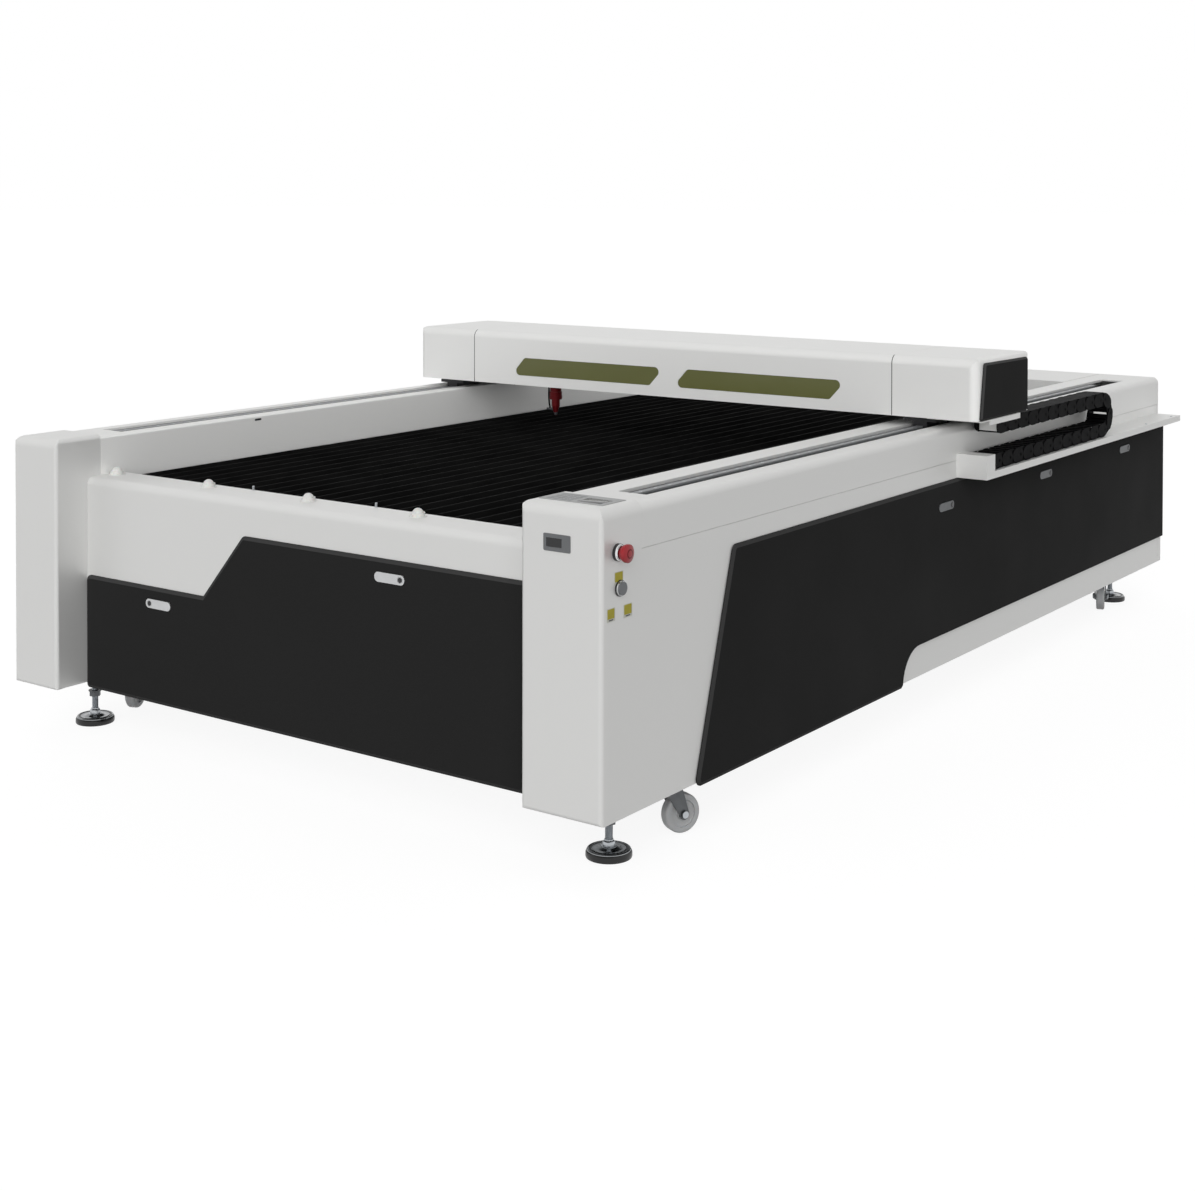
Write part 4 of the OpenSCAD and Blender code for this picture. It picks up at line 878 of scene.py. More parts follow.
@dataclass
class Housing:
    """Painted sheet metal, the frame behind it and the small parts fixed to it.

    Attributes:
        repeater: Setter of repeated small parts.
        screw_d: Diameter of a screw's head.
        screw_h: Height of a screw's head.
        pin_d: Diameter of a stop pin.
        pin_h: Height of a stop pin.
        pin_shares: Places of the pins, as shares of the front beam's length.
        plugs: Plugs in each rail housing.
        plug_first: Distance of the first plug from the housing's front.
        plug_pitch: Distance between two plugs.
        shelf_screws: Distances of the shelf's screws from its rear end.
        rear_screws: Screws in each row of the rear sheet.
        rear_top: Height of the upper row.
    """

    repeater: Repeater
    screw_d: float = 9 * MM
    screw_h: float = 2.2 * MM
    pin_d: float = 7 * MM
    pin_h: float = 11 * MM
    pin_shares: tuple[float, ...] = (0.331, 0.604)
    plugs: int = 3
    plug_first: float = 0.59
    plug_pitch: float = 1.25
    shelf_screws: tuple[float, ...] = (0.06, 0.32)
    rear_screws: int = 9
    rear_top: float = 0.635

    def build(self) -> None:
        """Dresses the sheets and adds plugs, screws, stop pins and bare plates."""
        dress(WHITE_COAT, "side_sheets", "left_post_cover", "right_post_cover",
              "front_beam_cover", "rear_cover", "left_rail_housing", "right_rail_housing",
              "chain_tray")
        dress(FRAME_ENAMEL, "base_frame")
        dress(GALVANISED, "dust_hopper")
        self.screws()
        self.stop_pins()
        self.plates()

    def screws(self) -> None:
        """Adds the rail housings' plugs and the screws of the rear sheet and the shelf."""
        for node, axis in (("left_rail_housing", Axis.RIGHT), ("right_rail_housing", Axis.LEFT)):
            lo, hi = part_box(node)
            x = hi.x if axis is Axis.RIGHT else lo.x
            plug = slab(rounded(26 * MM, 6 * MM, 2.8 * MM), 1 * MM, 0.3 * MM, 1)
            wall = [(x, lo.y + (self.plug_first + self.plug_pitch * i), hi.z - 12 * MM)
                    for i in range(self.plugs)]
            self.repeater.place(plug, wall, axis, DARK_ABS, node + "_plugs", spin=0.0)
        lo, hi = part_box("chain_tray")
        top = lo.z + 20 * MM
        row = [(hi.x - 12 * MM, hi.y - d, top) for d in self.shelf_screws]
        self.repeater.place(button_screw(self.screw_d, self.screw_h), row, Axis.UP,
                            ZINC_PLATE, "tray_screws")
        lo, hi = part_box("rear_cover")
        last = self.rear_screws - 1
        xs = [lo.x + (hi.x - lo.x) * (0.03 + 0.94 * i / last) for i in range(last + 1)]
        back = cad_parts["rear_cover"]
        depth = max(v.co.y for v in back.data.vertices if abs(v.co.z - lo.z) < 0.01)
        rows = [(x, depth, z) for x in xs for z in (lo.z + 18 * MM, self.rear_top)]
        self.repeater.place(button_screw(self.screw_d, self.screw_h), rows, Axis.BACK,
                            ZINC_PLATE, "rear_sheet_screws")

    def stop_pins(self) -> None:
        """Adds the two small pins on the front beam that a sheet is set against."""
        lo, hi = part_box("front_beam_cover")
        width = hi.x - lo.x
        pins = [(lo.x + width * share, hi.y - 7 * MM, hi.z) for share in self.pin_shares]
        r, h = self.pin_d / 2, self.pin_h
        shape = lathe([(r, 0), (r, h - 1.2 * MM), (r - 1.2 * MM, h)], 16)
        self.repeater.place(shape, pins, Axis.UP, ZINC_PLATE, "stop_pins")

    def plates(self) -> None:
        """Adds three bare yellow plates on white backings, each with a dark strip."""
        lo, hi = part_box("right_post_cover")
        # Place along Y from the post's front, height of the middle, width and height, in mm.
        spots = ((62, 664, 28, 20), (33, 589, 25, 21), (96, 588, 27, 21))
        backs, fronts, strips = [], [], []
        for y, z, w, h in spots:
            place = facing(Axis.RIGHT, hi.x, lo.y + y * MM, z * MM)
            back = slab(rounded((w + 5) * MM, (h + 8) * MM, 1.5 * MM), 0.4 * MM)
            backs.append(moved(moved(back, shift(0, -1.5 * MM, 0)), place))
            front = slab(rounded(w * MM, h * MM, 1.5 * MM), 0.7 * MM, 0.2 * MM, 1)
            fronts.append(moved(moved(front, shift(0, 1 * MM, 0)), place))
            strip = slab(rounded(w * 0.62 * MM, 2.4 * MM, 0.6 * MM), 0.6 * MM)
            strip.transform(shift(0, -(h / 2 + 2) * MM, 0))
            strips.append(moved(strip, place))
        piece(merged(*backs), "plate_backings", WHITE_VINYL)
        piece(merged(*fronts), "yellow_plates", YELLOW_VINYL)
        piece(merged(*strips), "plate_strips", DARK_ABS)


@dataclass
class Bed:
    """Slatted bed, its cross bars and the ball units on the front beam."""

    def build(self) -> None:
        """Dresses the bed and the ball units."""
        dress(BED_BLACK, "bed_slats", "bed_cross_bars")
        dress(BALL_ACETAL, "ball_transfers")


@dataclass
class Drives:
    """Rails, belts, pulleys, shaft and motor that move the gantry.

    Attributes:
        repeater: Setter of repeated small parts.
        bolt_pitch: Distance between two bolts of a rail.
        bolt_inset: Distance of the bolts from the rail's outer edge.
        rail_side: Distance of that edge from the side of the rails' CAD node.
    """

    repeater: Repeater
    bolt_pitch: float = 60 * MM
    bolt_inset: float = 12 * MM
    rail_side: float = 31 * MM

    def build(self) -> None:
        """Dresses the drive and adds the rails' bolts."""
        dress(RAIL_STEEL, "y_rails")
        dress(BELT_URETHANE, "y_belts")
        dress(MOTOR_PAINT, "y_motor")
        dress(MACHINED_ALUMINIUM, "y_idlers", "y_drive_shaft")
        lo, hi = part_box("y_rails")
        y0, y1 = lo.y + 45 * MM, hi.y - 30 * MM
        count = int((y1 - y0) / self.bolt_pitch)
        points = []
        for x in (lo.x + self.rail_side + self.bolt_inset,
                  hi.x - self.rail_side - self.bolt_inset):
            points += [(x, y0 + i * self.bolt_pitch, hi.z - 0.4 * MM) for i in range(count + 1)]
        self.repeater.place(button_screw(8.5 * MM, 0.8 * MM), points, Axis.UP,
                            ZINC_PLATE, "rail_bolts")


@dataclass
class Controls:
    """Keypad on the right post, display on its front and buttons on its side.

    Attributes:
        key: Width of a key.
        key_pitch: Distance between two keys, in millimetres.
        keys: Keys in a row and in a column.
    """

    key: float = 13 * MM
    key_pitch: int = 18
    keys: int = 4

    def build(self) -> None:
        """Dresses the controls and adds keys, lenses and chrome rings."""
        dress(PANEL_FILM, "control_panel")
        dress(DISPLAY_GREY, "display_unit")
        dress(DARK_ABS, "button_bezels")
        dress(RED_ABS, "estop_button")
        dress(CAP_GREY, "push_button_cap")
        self.keypad()
        self.display()
        self.rings()

    def keypad(self) -> None:
        """Adds the keys and the screen of the control panel."""
        lo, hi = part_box("control_panel")
        keys = []
        for i in range(self.keys):
            for j in range(self.keys):
                cap = slab(rounded(self.key, self.key, 2 * MM), 0.9 * MM, 0.4 * MM)
                x = lo.x + (12 + self.key_pitch * i + 7) * MM
                y = lo.y + (10 + self.key_pitch * j + 7) * MM
                keys.append(moved(cap, shift(x, y, hi.z - 0.5 * MM)))
        piece(merged(*keys), "keypad_keys", KEY_FILM)
        screen = slab(rounded(65 * MM, 49 * MM, 2 * MM), 0.9 * MM, 0.3 * MM)
        piece(moved(screen, shift(lo.x + 127 * MM, lo.y + 37 * MM,
                                                hi.z - 0.95 * MM)),
              "keypad_screen", SMOKED_LENS)

    def display(self) -> None:
        """Adds the display's lens and its round key."""
        lo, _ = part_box("display_unit")
        lens = slab(rounded(41.4 * MM, 19.4 * MM, 1.2 * MM), 0.6 * MM, 0.2 * MM, 1)
        piece(moved(lens, facing(Axis.FRONT, lo.x + 29 * MM, lo.y + 1.5 * MM, lo.z + 19 * MM)),
              "display_lens", SMOKED_LENS)
        r = 5 * MM
        cap = lathe([(r, 0), (r, 0.8 * MM), (r - 0.8 * MM, 1.2 * MM), (0.4 * MM, 1.3 * MM)], 24)
        piece(moved(cap, facing(Axis.FRONT, lo.x + 61 * MM, lo.y + 1.5 * MM, lo.z + 19 * MM)),
              "display_key", CAP_GREY)

    def rings(self) -> None:
        """Adds both buttons' chrome rings and the groove in the stop button's cap."""
        lo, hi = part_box("estop_button")
        y, z = (lo.y + hi.y) / 2, (lo.z + hi.z) / 2
        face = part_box("right_post_cover")[1].x
        ring = lathe(millimetres((17.6, 5.6), (17.6, 6.9), (16.9, 7.6), (16.4, 8),
                                 (15.6, 11.3), (14.0, 11.4)), 48)
        piece(moved(ring, facing(Axis.RIGHT, face, y, z)), "estop_ring", CHROME_PLATE)
        # Turned groove in the cap's dome, round the arrows' place.
        groove = lathe(millimetres((10.6, -1.4), (10.4, -0.95), (7.4, -0.45), (7.2, -0.9)))
        piece(moved(groove, facing(Axis.RIGHT, hi.x, y, z)), "estop_groove", RED_ANODISED,
              "estop")
        lo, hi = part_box("push_button_cap")
        y, z = (lo.y + hi.y) / 2, (lo.z + hi.z) / 2
        rim = lathe(millimetres((16.7, 3), (16.7, 5.2), (15.8, 6.5), (14.9, 6.2),
                                (14.7, 0.7)), 48)
        piece(moved(rim, facing(Axis.RIGHT, face, y, z)), "push_button_ring", CHROME_PLATE)


@dataclass
class Panels:
    """Charcoal access panels and their flap latches.

    Attributes:
        lock_r: Radius of a lock's face.
        lock_offset: Distance of a lock from the middle of its latch.
        end_inset: Distance of the outer latches' middles from their node's ends.
        middle_shift: Distance of the middle latch behind the point halfway.
    """

    lock_r: float = 6.6 * MM
    lock_offset: float = 34 * MM
    end_inset: float = 48 * MM
    middle_shift: float = 13 * MM

    def build(self) -> None:
        """Dresses the panels and latches and adds the lock faces."""
        dress(CHARCOAL_COAT, "front_access_panel", "right_side_panel", "left_side_panel")
        dress(LATCH_CAST, "front_latch_left", "front_latch_right")
        dress(LATCH_DARK, "right_side_latches", "left_side_latches")
        for node, body, side in (("front_latch_left", "front_latch_l", -1),
                                 ("front_latch_right", "front_latch_r", 1)):
            lo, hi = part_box(node)
            x = (lo.x + hi.x) / 2 + side * self.lock_offset
            z = (lo.z + hi.z) / 2
            piece(moved(self.lock(), facing(Axis.FRONT, x, lo.y, z)), node + "_lock",
                  OPTICS_BLACK, body)
        for node, body, axis in (("right_side_latches", "right_latches", Axis.RIGHT),
                                 ("left_side_latches", "left_latches", Axis.LEFT)):
            lo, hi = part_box(node)
            z = (lo.z + hi.z) / 2
            face = hi.x if axis is Axis.RIGHT else lo.x
            first, last = lo.y + self.end_inset, hi.y - self.end_inset
            middle = (first + last) / 2 + self.middle_shift
            locks = [moved(self.lock(), facing(axis, face, y + self.lock_offset, z))
                     for y in (first, middle, last)]
            piece(merged(*locks), node + "_locks", OPTICS_BLACK, body)

    def lock(self) -> Mesh:
        """Makes the face of a lock barrel with a bar for its key slot.

        Returns:
            The shapes, with the middle of the face at the origin and +Z outwards.
        """
        r = self.lock_r
        face = lathe([(r, -1.4 * MM), (r, 0.1 * MM), (r - 0.7 * MM, 0.5 * MM)], 24)
        bar = slab(rounded(7 * MM, 1.6 * MM, 0.4 * MM), 0.3 * MM)
        return merged(face, moved(bar, shift(0, 0, 0.45 * MM)))


@dataclass
class Undercarriage:
    """Levelling feet and casters.

    Attributes:
        stud_r: Radius of a foot's stud.
        pitch: Pitch of its thread.
        nut_r: Radius of the lock nut, to its corners.
        nut_h: Height of the lock nut.
        nut_z: Height of the nut's lower face over the floor.
        axle_half: Half the length of a caster's axle.
        swivels: Turn of each caster about its stem, in degrees.
    """

    stud_r: float = 9 * MM
    pitch: float = 2.5 * MM
    nut_r: float = 16 * MM
    nut_h: float = 14 * MM
    nut_z: float = 74 * MM
    axle_half: float = 24.9 * MM
    swivels: ClassVar[dict[str, float]] = {
        "front_left": 205.0, "front_right": -25.0, "rear_left": 35.0, "rear_right": 20.0}

    def build(self) -> None:
        """Makes the feet with their lock nuts and dresses the casters."""
        for corner in ("front_left", "front_right", "rear_left", "rear_right"):
            self.foot("foot_" + corner)
            self.lock_nut("foot_" + corner)
            dress(FORK_ZINC, "caster_fork_" + corner)
            dress(WHEEL_NYLON, "caster_wheel_" + corner)
            self.axle_ends(corner)

    def foot(self, node: str) -> None:
        """Makes one foot: a rubber ring, a pressed disc, its neck and a threaded stud.

        Args:
            node: CAD node of the foot, which the pieces stand for.
        """
        lo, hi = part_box(node)
        place = shift((lo.x + hi.x) / 2, (lo.y + hi.y) / 2, lo.z)
        r = (hi.x - lo.x) / 2
        pad = lathe([(r - 4 * MM, 0), (r - 1 * MM, 0.6 * MM), (r, 3 * MM), (r, 11 * MM),
                     (r - 1.2 * MM, 14.4 * MM), (r - 3.6 * MM, 17 * MM),
                     (r - 7 * MM, 18.4 * MM), (r - 12 * MM, 18.6 * MM),
                     (r - 14 * MM, 17.6 * MM)], 72)
        piece(moved(pad, place), node + "_pad", FOOT_RUBBER, node, (node,))
        disc = lathe([(r - 13.4 * MM, 16.6 * MM), (r - 13.4 * MM, 18.8 * MM),
                      (r - 14.6 * MM, 19.6 * MM), (r - 17 * MM, 19 * MM),
                      (r - 22 * MM, 18.6 * MM), (r - 28 * MM, 20.6 * MM),
                      (20 * MM, 23.4 * MM), (17 * MM, 24 * MM)], 72)
        bead = lathe([(r - 3 * MM, 16.6 * MM), (r - 3.4 * MM, 18.6 * MM),
                      (r - 4.6 * MM, 19.6 * MM), (r - 6.2 * MM, 19.8 * MM),
                      (r - 7.6 * MM, 19 * MM), (r - 8 * MM, 17.8 * MM)], 72)
        piece(moved(merged(disc, bead), place), node + "_disc", PRESSED_STEEL, node)
        s = self.stud_r
        neck = lathe([(18 * MM, 23 * MM), (18 * MM, 24.6 * MM), (14 * MM, 25.4 * MM),
                      (14 * MM, 33.5 * MM), (12.6 * MM, 36 * MM), (s + 1.4 * MM, 37.6 * MM),
                      (s + 1.4 * MM, 40 * MM)], 40)
        turns = int((hi.z - lo.z - 41 * MM) / self.pitch)
        rings = [(s, 36 * MM)]
        for k in range(turns):
            low = 38 * MM + k * self.pitch
            rings += [(s, low), (s - 1.3 * MM, low + self.pitch / 2)]
        rings.append((s - 1.3 * MM, 38 * MM + turns * self.pitch))
        thread = lathe(rings, 24, self.pitch)
        piece(moved(merged(neck, thread), place), node + "_stud", ZINC_PLATE, node)

    def axle_ends(self, corner: str) -> None:
        """Adds the bright domed ends of a caster's axle.

        Args:
            corner: Corner of the machine, as the caster's nodes name it.
        """
        lo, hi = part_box("caster_wheel_" + corner)
        middle = Matrix.Translation((lo + hi) / 2)
        turn = Matrix.Rotation(math.radians(self.swivels[corner]), 4, "Z")
        ends = []
        for side in (90.0, -90.0):
            cap = lathe(millimetres((8.4, 0), (8.4, 0.6), (6, 2), (0.4, 2.6)), 20)
            place = Matrix.Rotation(math.radians(side), 4, "Y")
            ends.append(moved(cap, middle @ turn @ place
                              @ shift(0, 0, self.axle_half)))
        piece(merged(*ends), "caster_axle_ends_" + corner, ZINC_PLATE, "caster_fork_" + corner)

    def lock_nut(self, node: str) -> None:
        """Makes the washer and the nut that wait on a foot's stud to lock it.

        Args:
            node: CAD node of the foot.
        """
        lo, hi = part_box(node)
        nut = slab(polygon(6, self.nut_r, 12.0), self.nut_h, 1.6 * MM, 1)
        washer = lathe([(self.nut_r + 2 * MM, -0.2 * MM), (self.nut_r + 2 * MM, 2.2 * MM)], 32)
        nut = merged(nut, moved(washer, shift(0, 0, self.nut_h)))
        place = shift((lo.x + hi.x) / 2, (lo.y + hi.y) / 2, self.nut_z)
        piece(moved(nut, place), node + "_nut", FORK_ZINC, node)


@dataclass
class Gantry:
    """Travelling gantry with its covers, windows, optics and cutting head."""

    repeater: Repeater

    def build(self) -> None:
        """Dresses the gantry and the head and adds their small parts."""
        dress(WHITE_COAT, "gantry_cover", "gantry_end_covers", "chain_bracket")
        dress(SAFETY_ACRYLIC, "gantry_windows")
        dress(CHARCOAL_COAT, "gantry_vent_panel")
        dress(MACHINED_ALUMINIUM, "gantry_beam", "head_carriage")
        dress(OPTICS_BLACK, "gantry_trucks")
        dress(RAIL_STEEL, "x_rail")
        dress(MOTOR_PAINT, "x_drive")
        dress(TUBE_GLASS, "laser_tube")
        dress(OPTICS_BLACK, "optics_mounts")
        dress(RED_ANODISED, "laser_head")
        dress(RED_ANODISED, "lens_tube")
        self.screws()
        self.seams()
        self.head()

    def seams(self) -> None:
        """Adds the dark rubber trims in the seams at the cover's two ends."""
        lo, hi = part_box("gantry_cover")
        r, proud, depth, width = 26 * MM, 0.3 * MM, 1.2 * MM, 2.2 * MM
        outer = [(lo.y - proud, lo.z + 1 * MM)]
        inner = [(lo.y + depth, lo.z + 1 * MM)]
        for i in range(8):
            a = math.radians(10 * i)
            outer.append((lo.y + r - (r + proud) * math.cos(a),
                          hi.z - r + (r + proud) * math.sin(a)))
            inner.append((lo.y + r - (r - depth) * math.cos(a),
                          hi.z - r + (r - depth) * math.sin(a)))
        trims = [moved(slab(outer + inner[::-1], width),
                       shift(x - width / 2, 0, 0) @ ON_EDGE)
                 for x in (lo.x - 0.5 * MM, hi.x + 0.5 * MM)]
        piece(merged(*trims), "gantry_seam_trims", FOOT_RUBBER, "gantry")

    def screws(self) -> None:
        """Adds the screws in the cover's back and on the chain's bracket."""
        lo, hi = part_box("gantry_cover")
        xs = [lo.x + (hi.x - lo.x) * i / 4 for i in range(5)]
        low = [(min(max(x, lo.x + 30 * MM), hi.x - 30 * MM), hi.y, lo.z + 25 * MM) for x in xs]
        self.repeater.place(button_screw(9 * MM, 2.4 * MM), low, Axis.BACK,
                            ZINC_PLATE, "gantry_rear_screws", "gantry")
        lo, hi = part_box("chain_bracket")
        row = [(hi.x - 20 * MM, lo.y + d * MM, hi.z) for d in (40, 230)]
        self.repeater.place(button_screw(9 * MM, 1.4 * MM), row, Axis.UP,
                            ZINC_PLATE, "bracket_screws", "gantry")

    def head(self) -> None:
        """Adds the head's clamp ring, the nozzle's tip, and the air line with its fitting."""
        lo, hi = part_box("laser_head")
        x, y = (lo.x + hi.x) / 2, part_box("lens_tube")[0].y + 14 * MM
        ring = lathe(millimetres((20.8, 2), (21.7, 2.8), (21.7, 12.2), (20.8, 13)))
        piece(moved(ring, shift(x, y, lo.z)), "head_clamp_ring",
              RED_ANODISED, "head")
        lo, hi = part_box("lens_tube")
        tip = lathe(millimetres((3.2, 0.3), (3.9, 0.5), (7.5, 11.6), (7.9, 15), (6, 15.4)), 32)
        piece(moved(tip, shift(x, y, lo.z)), "nozzle_tip", LATCH_DARK,
              "focus_tube")
        stub = lathe(millimetres((5.6, 4), (5.6, 12), (4.2, 13), (4, 36), (3, 37)), 24)
        piece(moved(stub, facing(Axis.LEFT, x, y, lo.z + 20 * MM)), "air_fitting", LATCH_DARK,
              "focus_tube")
        path = [Vector((x - d * MM, y - e * MM, lo.z + h * MM))
                for d, e, h in ((24, 0, 20), (24, 1, 27), (24.5, 3, 38), (25, 5, 54),
                                (25, 5, 72), (25, 5, 92), (25, 5, 112))]
        line = make_object(hose(path, 3 * MM), "air_line")
        line.data.materials.append(CHAIN_NYLON.material())
        soften(line)
        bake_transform(line)


@dataclass
class CableChain:
    """Cable chain: rigid links along its two runs and round the loop between them.

    Attributes:
        link_h: Height of a link's side plates.
        radius: Radius of the loop, to the pins.
        turn_links: Links in the loop's half turn.
        plate: Thickness of a side plate.
        lower: Links of the lower run.
        upper: Links of the upper run.
        end: Links held at the loop's end of the upper run.
        fit: Gap between two side plates that turn on each other.
        reach: Not used.
        width: Width of the chain.
        pitch: Distance between two pins.
        x: Place of the loop's middle along X.
        y: Place of the loop's middle along Y.
        z: Height of the loop's middle.
    """

    link_h: float = 44 * MM
    radius: float = 50 * MM
    turn_links: int = 4
    plate: float = 3 * MM
    lower: int = 23
    upper: int = 20
    end: int = 2
    fit: float = 0.3 * MM
    reach: float = 200.0
    width: float = field(init=False)
    pitch: float = field(init=False)
    x: float = field(init=False)
    y: float = field(init=False)
    z: float = field(init=False)

    def __post_init__(self) -> None:
        """Works out the chain's width and pitch and the place of its loop."""
        lo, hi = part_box("chain_loop")
        self.width = hi.x - lo.x
        self.pitch = 2 * self.radius * math.sin(math.pi / self.turn_links / 2)
        self.x = (lo.x + hi.x) / 2
        self.z = (lo.z + hi.z) / 2
        self.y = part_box("chain_upper_end")[1].y - (self.pitch / 2 - self.fit)

    def link(self, inside: bool) -> Mesh:
        """Returns a link from its first pin at the origin to its second along +Y.

        Args:
            inside: Whether its side plates lie inside those of its neighbours.

        Returns:
            The link, with its lid on the side away from the loop's middle.
        """
        p, h = self.pitch, self.link_h / 2
        half = self.width / 2 - (self.plate + self.fit if inside else 0.0)
        r = p / 2 - self.fit
        outline = []
        for i in range(9):
            a = math.radians(90 + 180 * i / 8)
            outline.append((r * math.cos(a), r * math.sin(a)))
        flat = [(6 * MM, -h), (p - 6 * MM, -h)]
        right = [(p - x, -y) for x, y in outline]
        outline = outline + flat + right + [(p - 6 * MM, h), (6 * MM, h)]
        shapes = []
        for side in (-1, 1):
            cheek = slab(outline, self.plate)
            x = half - self.plate if side > 0 else -half
            shapes.append(moved(cheek, shift(x, 0, 0) @ ON_EDGE))
            if not inside:
                boss = lathe(millimetres((5.4, 0), (5.4, 0.5), (4.6, 0.9)), 12)
                axis = Axis.RIGHT if side > 0 else Axis.LEFT
                shapes.append(moved(boss, facing(axis, side * (half - 0.9 * MM), p, 0)))
        lid = slab(rounded(2 * half - 2 * MM, p - 2 * MM, 2 * MM), 3.4 * MM, 0.8 * MM, 1)
        shapes.append(moved(lid, shift(0, p / 2, -h) @ Matrix.Rotation(
            math.pi, 4, "X") @ shift(0, 0, -3.4 * MM)))
        rung = slab(rounded(2 * half - 2 * MM, 13 * MM, 2 * MM), 3.4 * MM, 0.8 * MM, 1)
        shapes.append(moved(rung, shift(0, p / 2, h - 3.4 * MM)))
        return merged(*shapes)

    def build(self) -> None:
        """Makes the loop, the end links and the links of both runs."""
        loop = []
        for i in range(self.turn_links):
            angle = math.pi / self.turn_links
            place = (shift(self.x, self.y, self.z)
                     @ Matrix.Rotation(i * angle, 4, "X")
                     @ shift(0, 0, -self.radius)
                     @ Matrix.Rotation(angle / 2, 4, "X"))
            loop.append(moved(self.link(i % 2 == 0), place))
        piece(merged(*loop), "chain_loop_links", CHAIN_NYLON, "chain_loop_body", ("chain_loop",))
        flip = Matrix.Rotation(math.pi, 4, "Y")
        ends = []
        for i in range(1, self.end + 1):
            place = shift(self.x, self.y - i * self.pitch, self.z + self.radius)
            ends.append(moved(self.link(i % 2 == 1), place @ flip))
        piece(merged(*ends), "chain_end_links", CHAIN_NYLON, "chain_end_body",
              ("chain_upper_end",))
        self.run("chain_lower_run", self.lower, 1, -self.radius, Matrix.Identity(4))
        self.run("chain_upper_run", self.upper, self.end + 1, self.radius, flip)

    def run(
        self, node: str, count: int, first: int, drop: float, flip: Matrix
    ) -> None:
        """Makes a straight run of links.

        Args:
            node: CAD node that the run stands for.
            count: Number of links.
            first: Number of the link nearest the loop.
            drop: Height of the pins over the loop's middle.
            flip: Turn that puts the lids outside.
        """
        for k in range(count):
            i = first + k
            y = self.y - i * self.pitch
            inside = (i % 2 == 0) if drop < 0 else (i % 2 == 1)
            place = shift(self.x, y, self.z + drop)
            item = make_object(moved(self.link(inside), place @ flip), f"{node}_link_{i:02d}")
            item.data.materials.append(CHAIN_NYLON.material())
            soften(item)
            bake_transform(item)
            if k == 0:
                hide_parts(node)
        LOG.info("run %s: %d links", node, count)


# ---- Studio ----


@dataclass(frozen=True)
class Lamp:
    """A distant lamp.

    Attributes:
        name: Its name.
        energy: Its strength.
        towards: Direction from the machine to the lamp.
        width: Angle that it fills, in degrees, which softens its shadows.
        only: CAD nodes that it lights, or none where it lights everything.
    """

    name: str
    energy: float
    towards: tuple[float, float, float]
    width: float
    only: tuple[str, ...] = ()


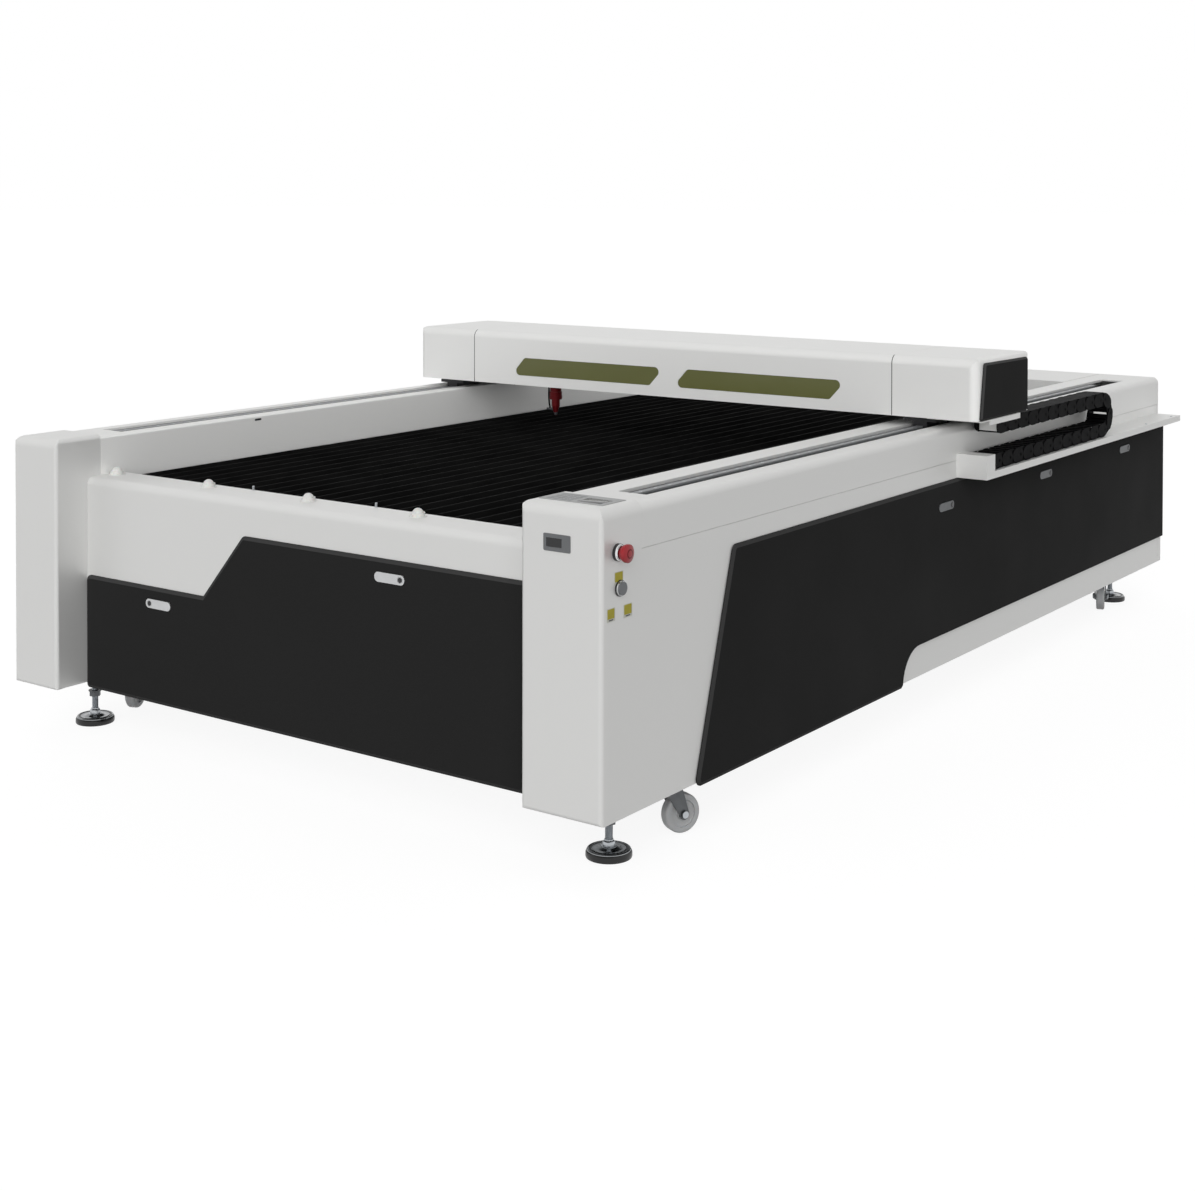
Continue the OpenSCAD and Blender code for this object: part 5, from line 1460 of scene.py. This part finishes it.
@dataclass
class Studio:
    """Camera, floor and lamps.

    Attributes:
        eye: Place of the camera.
        yaw: Turn of the camera to its left, in degrees.
        pitch: Its tilt downwards, in degrees.
        roll: Its lean, in degrees.
        sensor: Width of its sensor, in millimetres.
        lens: Its focal length, in millimetres.
        shift_x: Sideways shift of its lens, as a share of the picture's width.
        shift_y: Upward shift of its lens, as a share of the picture's width.
        sky: Strength of the light that the world throws.
        lights: The lamps.
        floor_half: Half the width of the floor.
        floor_plain: Colour by which the floor throws light back on the machine.
        floor_tint: Colour by which the floor shows shadows.
        floor_glow: Glow that brings the floor near to white.
    """

    eye: tuple[float, float, float] = (3.2475, -4.92996, 1.50628)
    yaw: float = 35.706
    pitch: float = 1.084
    roll: float = -0.068
    sensor: float = 36.0
    lens: float = 55.567431
    shift_x: float = -0.0091966527
    shift_y: float = -0.31382427
    sky: float = 0.36
    lights: tuple[Lamp, ...] = (
        Lamp("key", 2.05, (0.41, -0.83, 0.29), 60.0),
        Lamp("fill", 0.6, (-0.575, 0.766, 0.25), 60.0),
        Lamp("card", 1.5, (0.965, -0.26, -0.06), 70.0,
             ("left_rail_housing", "gantry_cover", "gantry_end_covers")),
    )
    floor_half: float = 90.0
    floor_plain: str = "#2E2E2E"
    floor_tint: str = "#7A7A7A"
    floor_glow: float = 0.895

    def build(self) -> None:
        """Makes the camera, the floor, the world and the lamps."""
        self.camera()
        self.floor()
        self.world()
        self.lamps()

    def camera(self) -> None:
        """Sets the camera up."""
        data = bpy.data.cameras.new("camera")
        data.sensor_width, data.lens = self.sensor, self.lens
        data.shift_x, data.shift_y = self.shift_x, self.shift_y
        data.clip_start, data.clip_end = 0.05, 200.0
        item = bpy.data.objects.new("camera", data)
        item.location = self.eye
        item.rotation_euler = (math.radians(90 - self.pitch), math.radians(self.roll),
                               math.radians(self.yaw))
        bpy.context.scene.collection.objects.link(item)
        bpy.context.scene.camera = item

    def floor(self) -> None:
        """Makes the pale floor, which shows near white and keeps a soft shadow."""
        mesh = bmesh.new()
        bmesh.ops.create_grid(mesh, x_segments=1, y_segments=1, size=self.floor_half)
        item = make_object(mesh, "floor")
        made = bpy.data.materials.new("pale_floor")
        made.use_nodes = True
        tree = made.node_tree
        tree.nodes.clear()
        seen = self.seen(tree)
        plain = add_node(tree, "ShaderNodeBsdfDiffuse", {"Color": colour(self.floor_plain)})
        tint = add_node(tree, "ShaderNodeBsdfDiffuse", {"Color": colour(self.floor_tint)})
        glow = add_node(tree, "ShaderNodeEmission", {"Strength": self.floor_glow})
        bright = add_node(tree, "ShaderNodeAddShader", {0: tint.outputs[0], 1: glow.outputs[0]})
        mixed = add_node(tree, "ShaderNodeMixShader",
                         {0: seen, 1: plain.outputs[0], 2: bright.outputs[0]})
        add_node(tree, "ShaderNodeOutputMaterial", {"Surface": mixed.outputs[0]})
        item.data.materials.append(made)

    def seen(self, tree: Tree) -> Socket:
        """Adds the share that is 1 for camera, glossy and transmitted rays.

        Args:
            tree: Node tree of the floor or the world.

        Returns:
            The socket of the share.
        """
        path = add_node(tree, "ShaderNodeLightPath")
        first = add_node(tree, "ShaderNodeMath",
                         {0: path.outputs["Is Camera Ray"], 1: path.outputs["Is Glossy Ray"]},
                         operation="MAXIMUM")
        return add_node(tree, "ShaderNodeMath",
                        {0: first.outputs[0], 1: path.outputs["Is Transmission Ray"]},
                        operation="MAXIMUM").outputs[0]

    def world(self) -> None:
        """Makes an even white world, which lights softly and shows as white."""
        world = bpy.data.worlds.new("studio")
        bpy.context.scene.world = world
        world.use_nodes = True
        tree = world.node_tree
        tree.nodes.clear()
        level = add_node(tree, "ShaderNodeMapRange",
                         {"Value": self.seen(tree), "To Min": self.sky, "To Max": 1.0})
        glow = add_node(tree, "ShaderNodeBackground",
                        {"Color": (1.0, 1.0, 1.0, 1.0), "Strength": level.outputs[0]})
        add_node(tree, "ShaderNodeOutputWorld", {"Surface": glow.outputs[0]})

    def lamps(self) -> None:
        """Adds a soft key from the front, a fill from behind and a card.

        The card is there because the wall behind the bed comes out too dark
        without it. It lights the nodes that it names and nothing else. No lamp
        shows in reflections, because pale tops seen from behind mirrored the
        key and turned pure white.
        """
        for lamp in self.lights:
            data = bpy.data.lights.new(lamp.name, "SUN")
            data.energy = lamp.energy
            data.angle = math.radians(lamp.width)
            item = bpy.data.objects.new(lamp.name, data)
            item.rotation_euler = Vector(lamp.towards).to_track_quat("Z", "Y").to_euler()
            item.visible_glossy = False
            if lamp.only:
                lit = bpy.data.collections.new(lamp.name + "_lights")
                for node in lamp.only:
                    lit.objects.link(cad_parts[node])
                item.light_linking.receiver_collection = lit
            bpy.context.scene.collection.objects.link(item)
        bpy.context.scene.view_settings.view_transform = "Standard"


class Assembly(Protocol):
    """A sub-assembly that main can build."""

    def build(self) -> None:
        """Dresses its CAD nodes and makes its own pieces."""


def main() -> None:
    """Builds the studio and every sub-assembly."""
    logging.basicConfig(level=logging.INFO, format="%(name)s: %(message)s")
    Studio().build()
    repeater = Repeater()
    parts: list[Assembly] = [
        Housing(repeater), Bed(), Drives(repeater), Controls(), Panels(),
        Undercarriage(), Gantry(repeater), CableChain(),
    ]
    for part in parts:
        part.build()


if __name__ == "__main__":
    main()
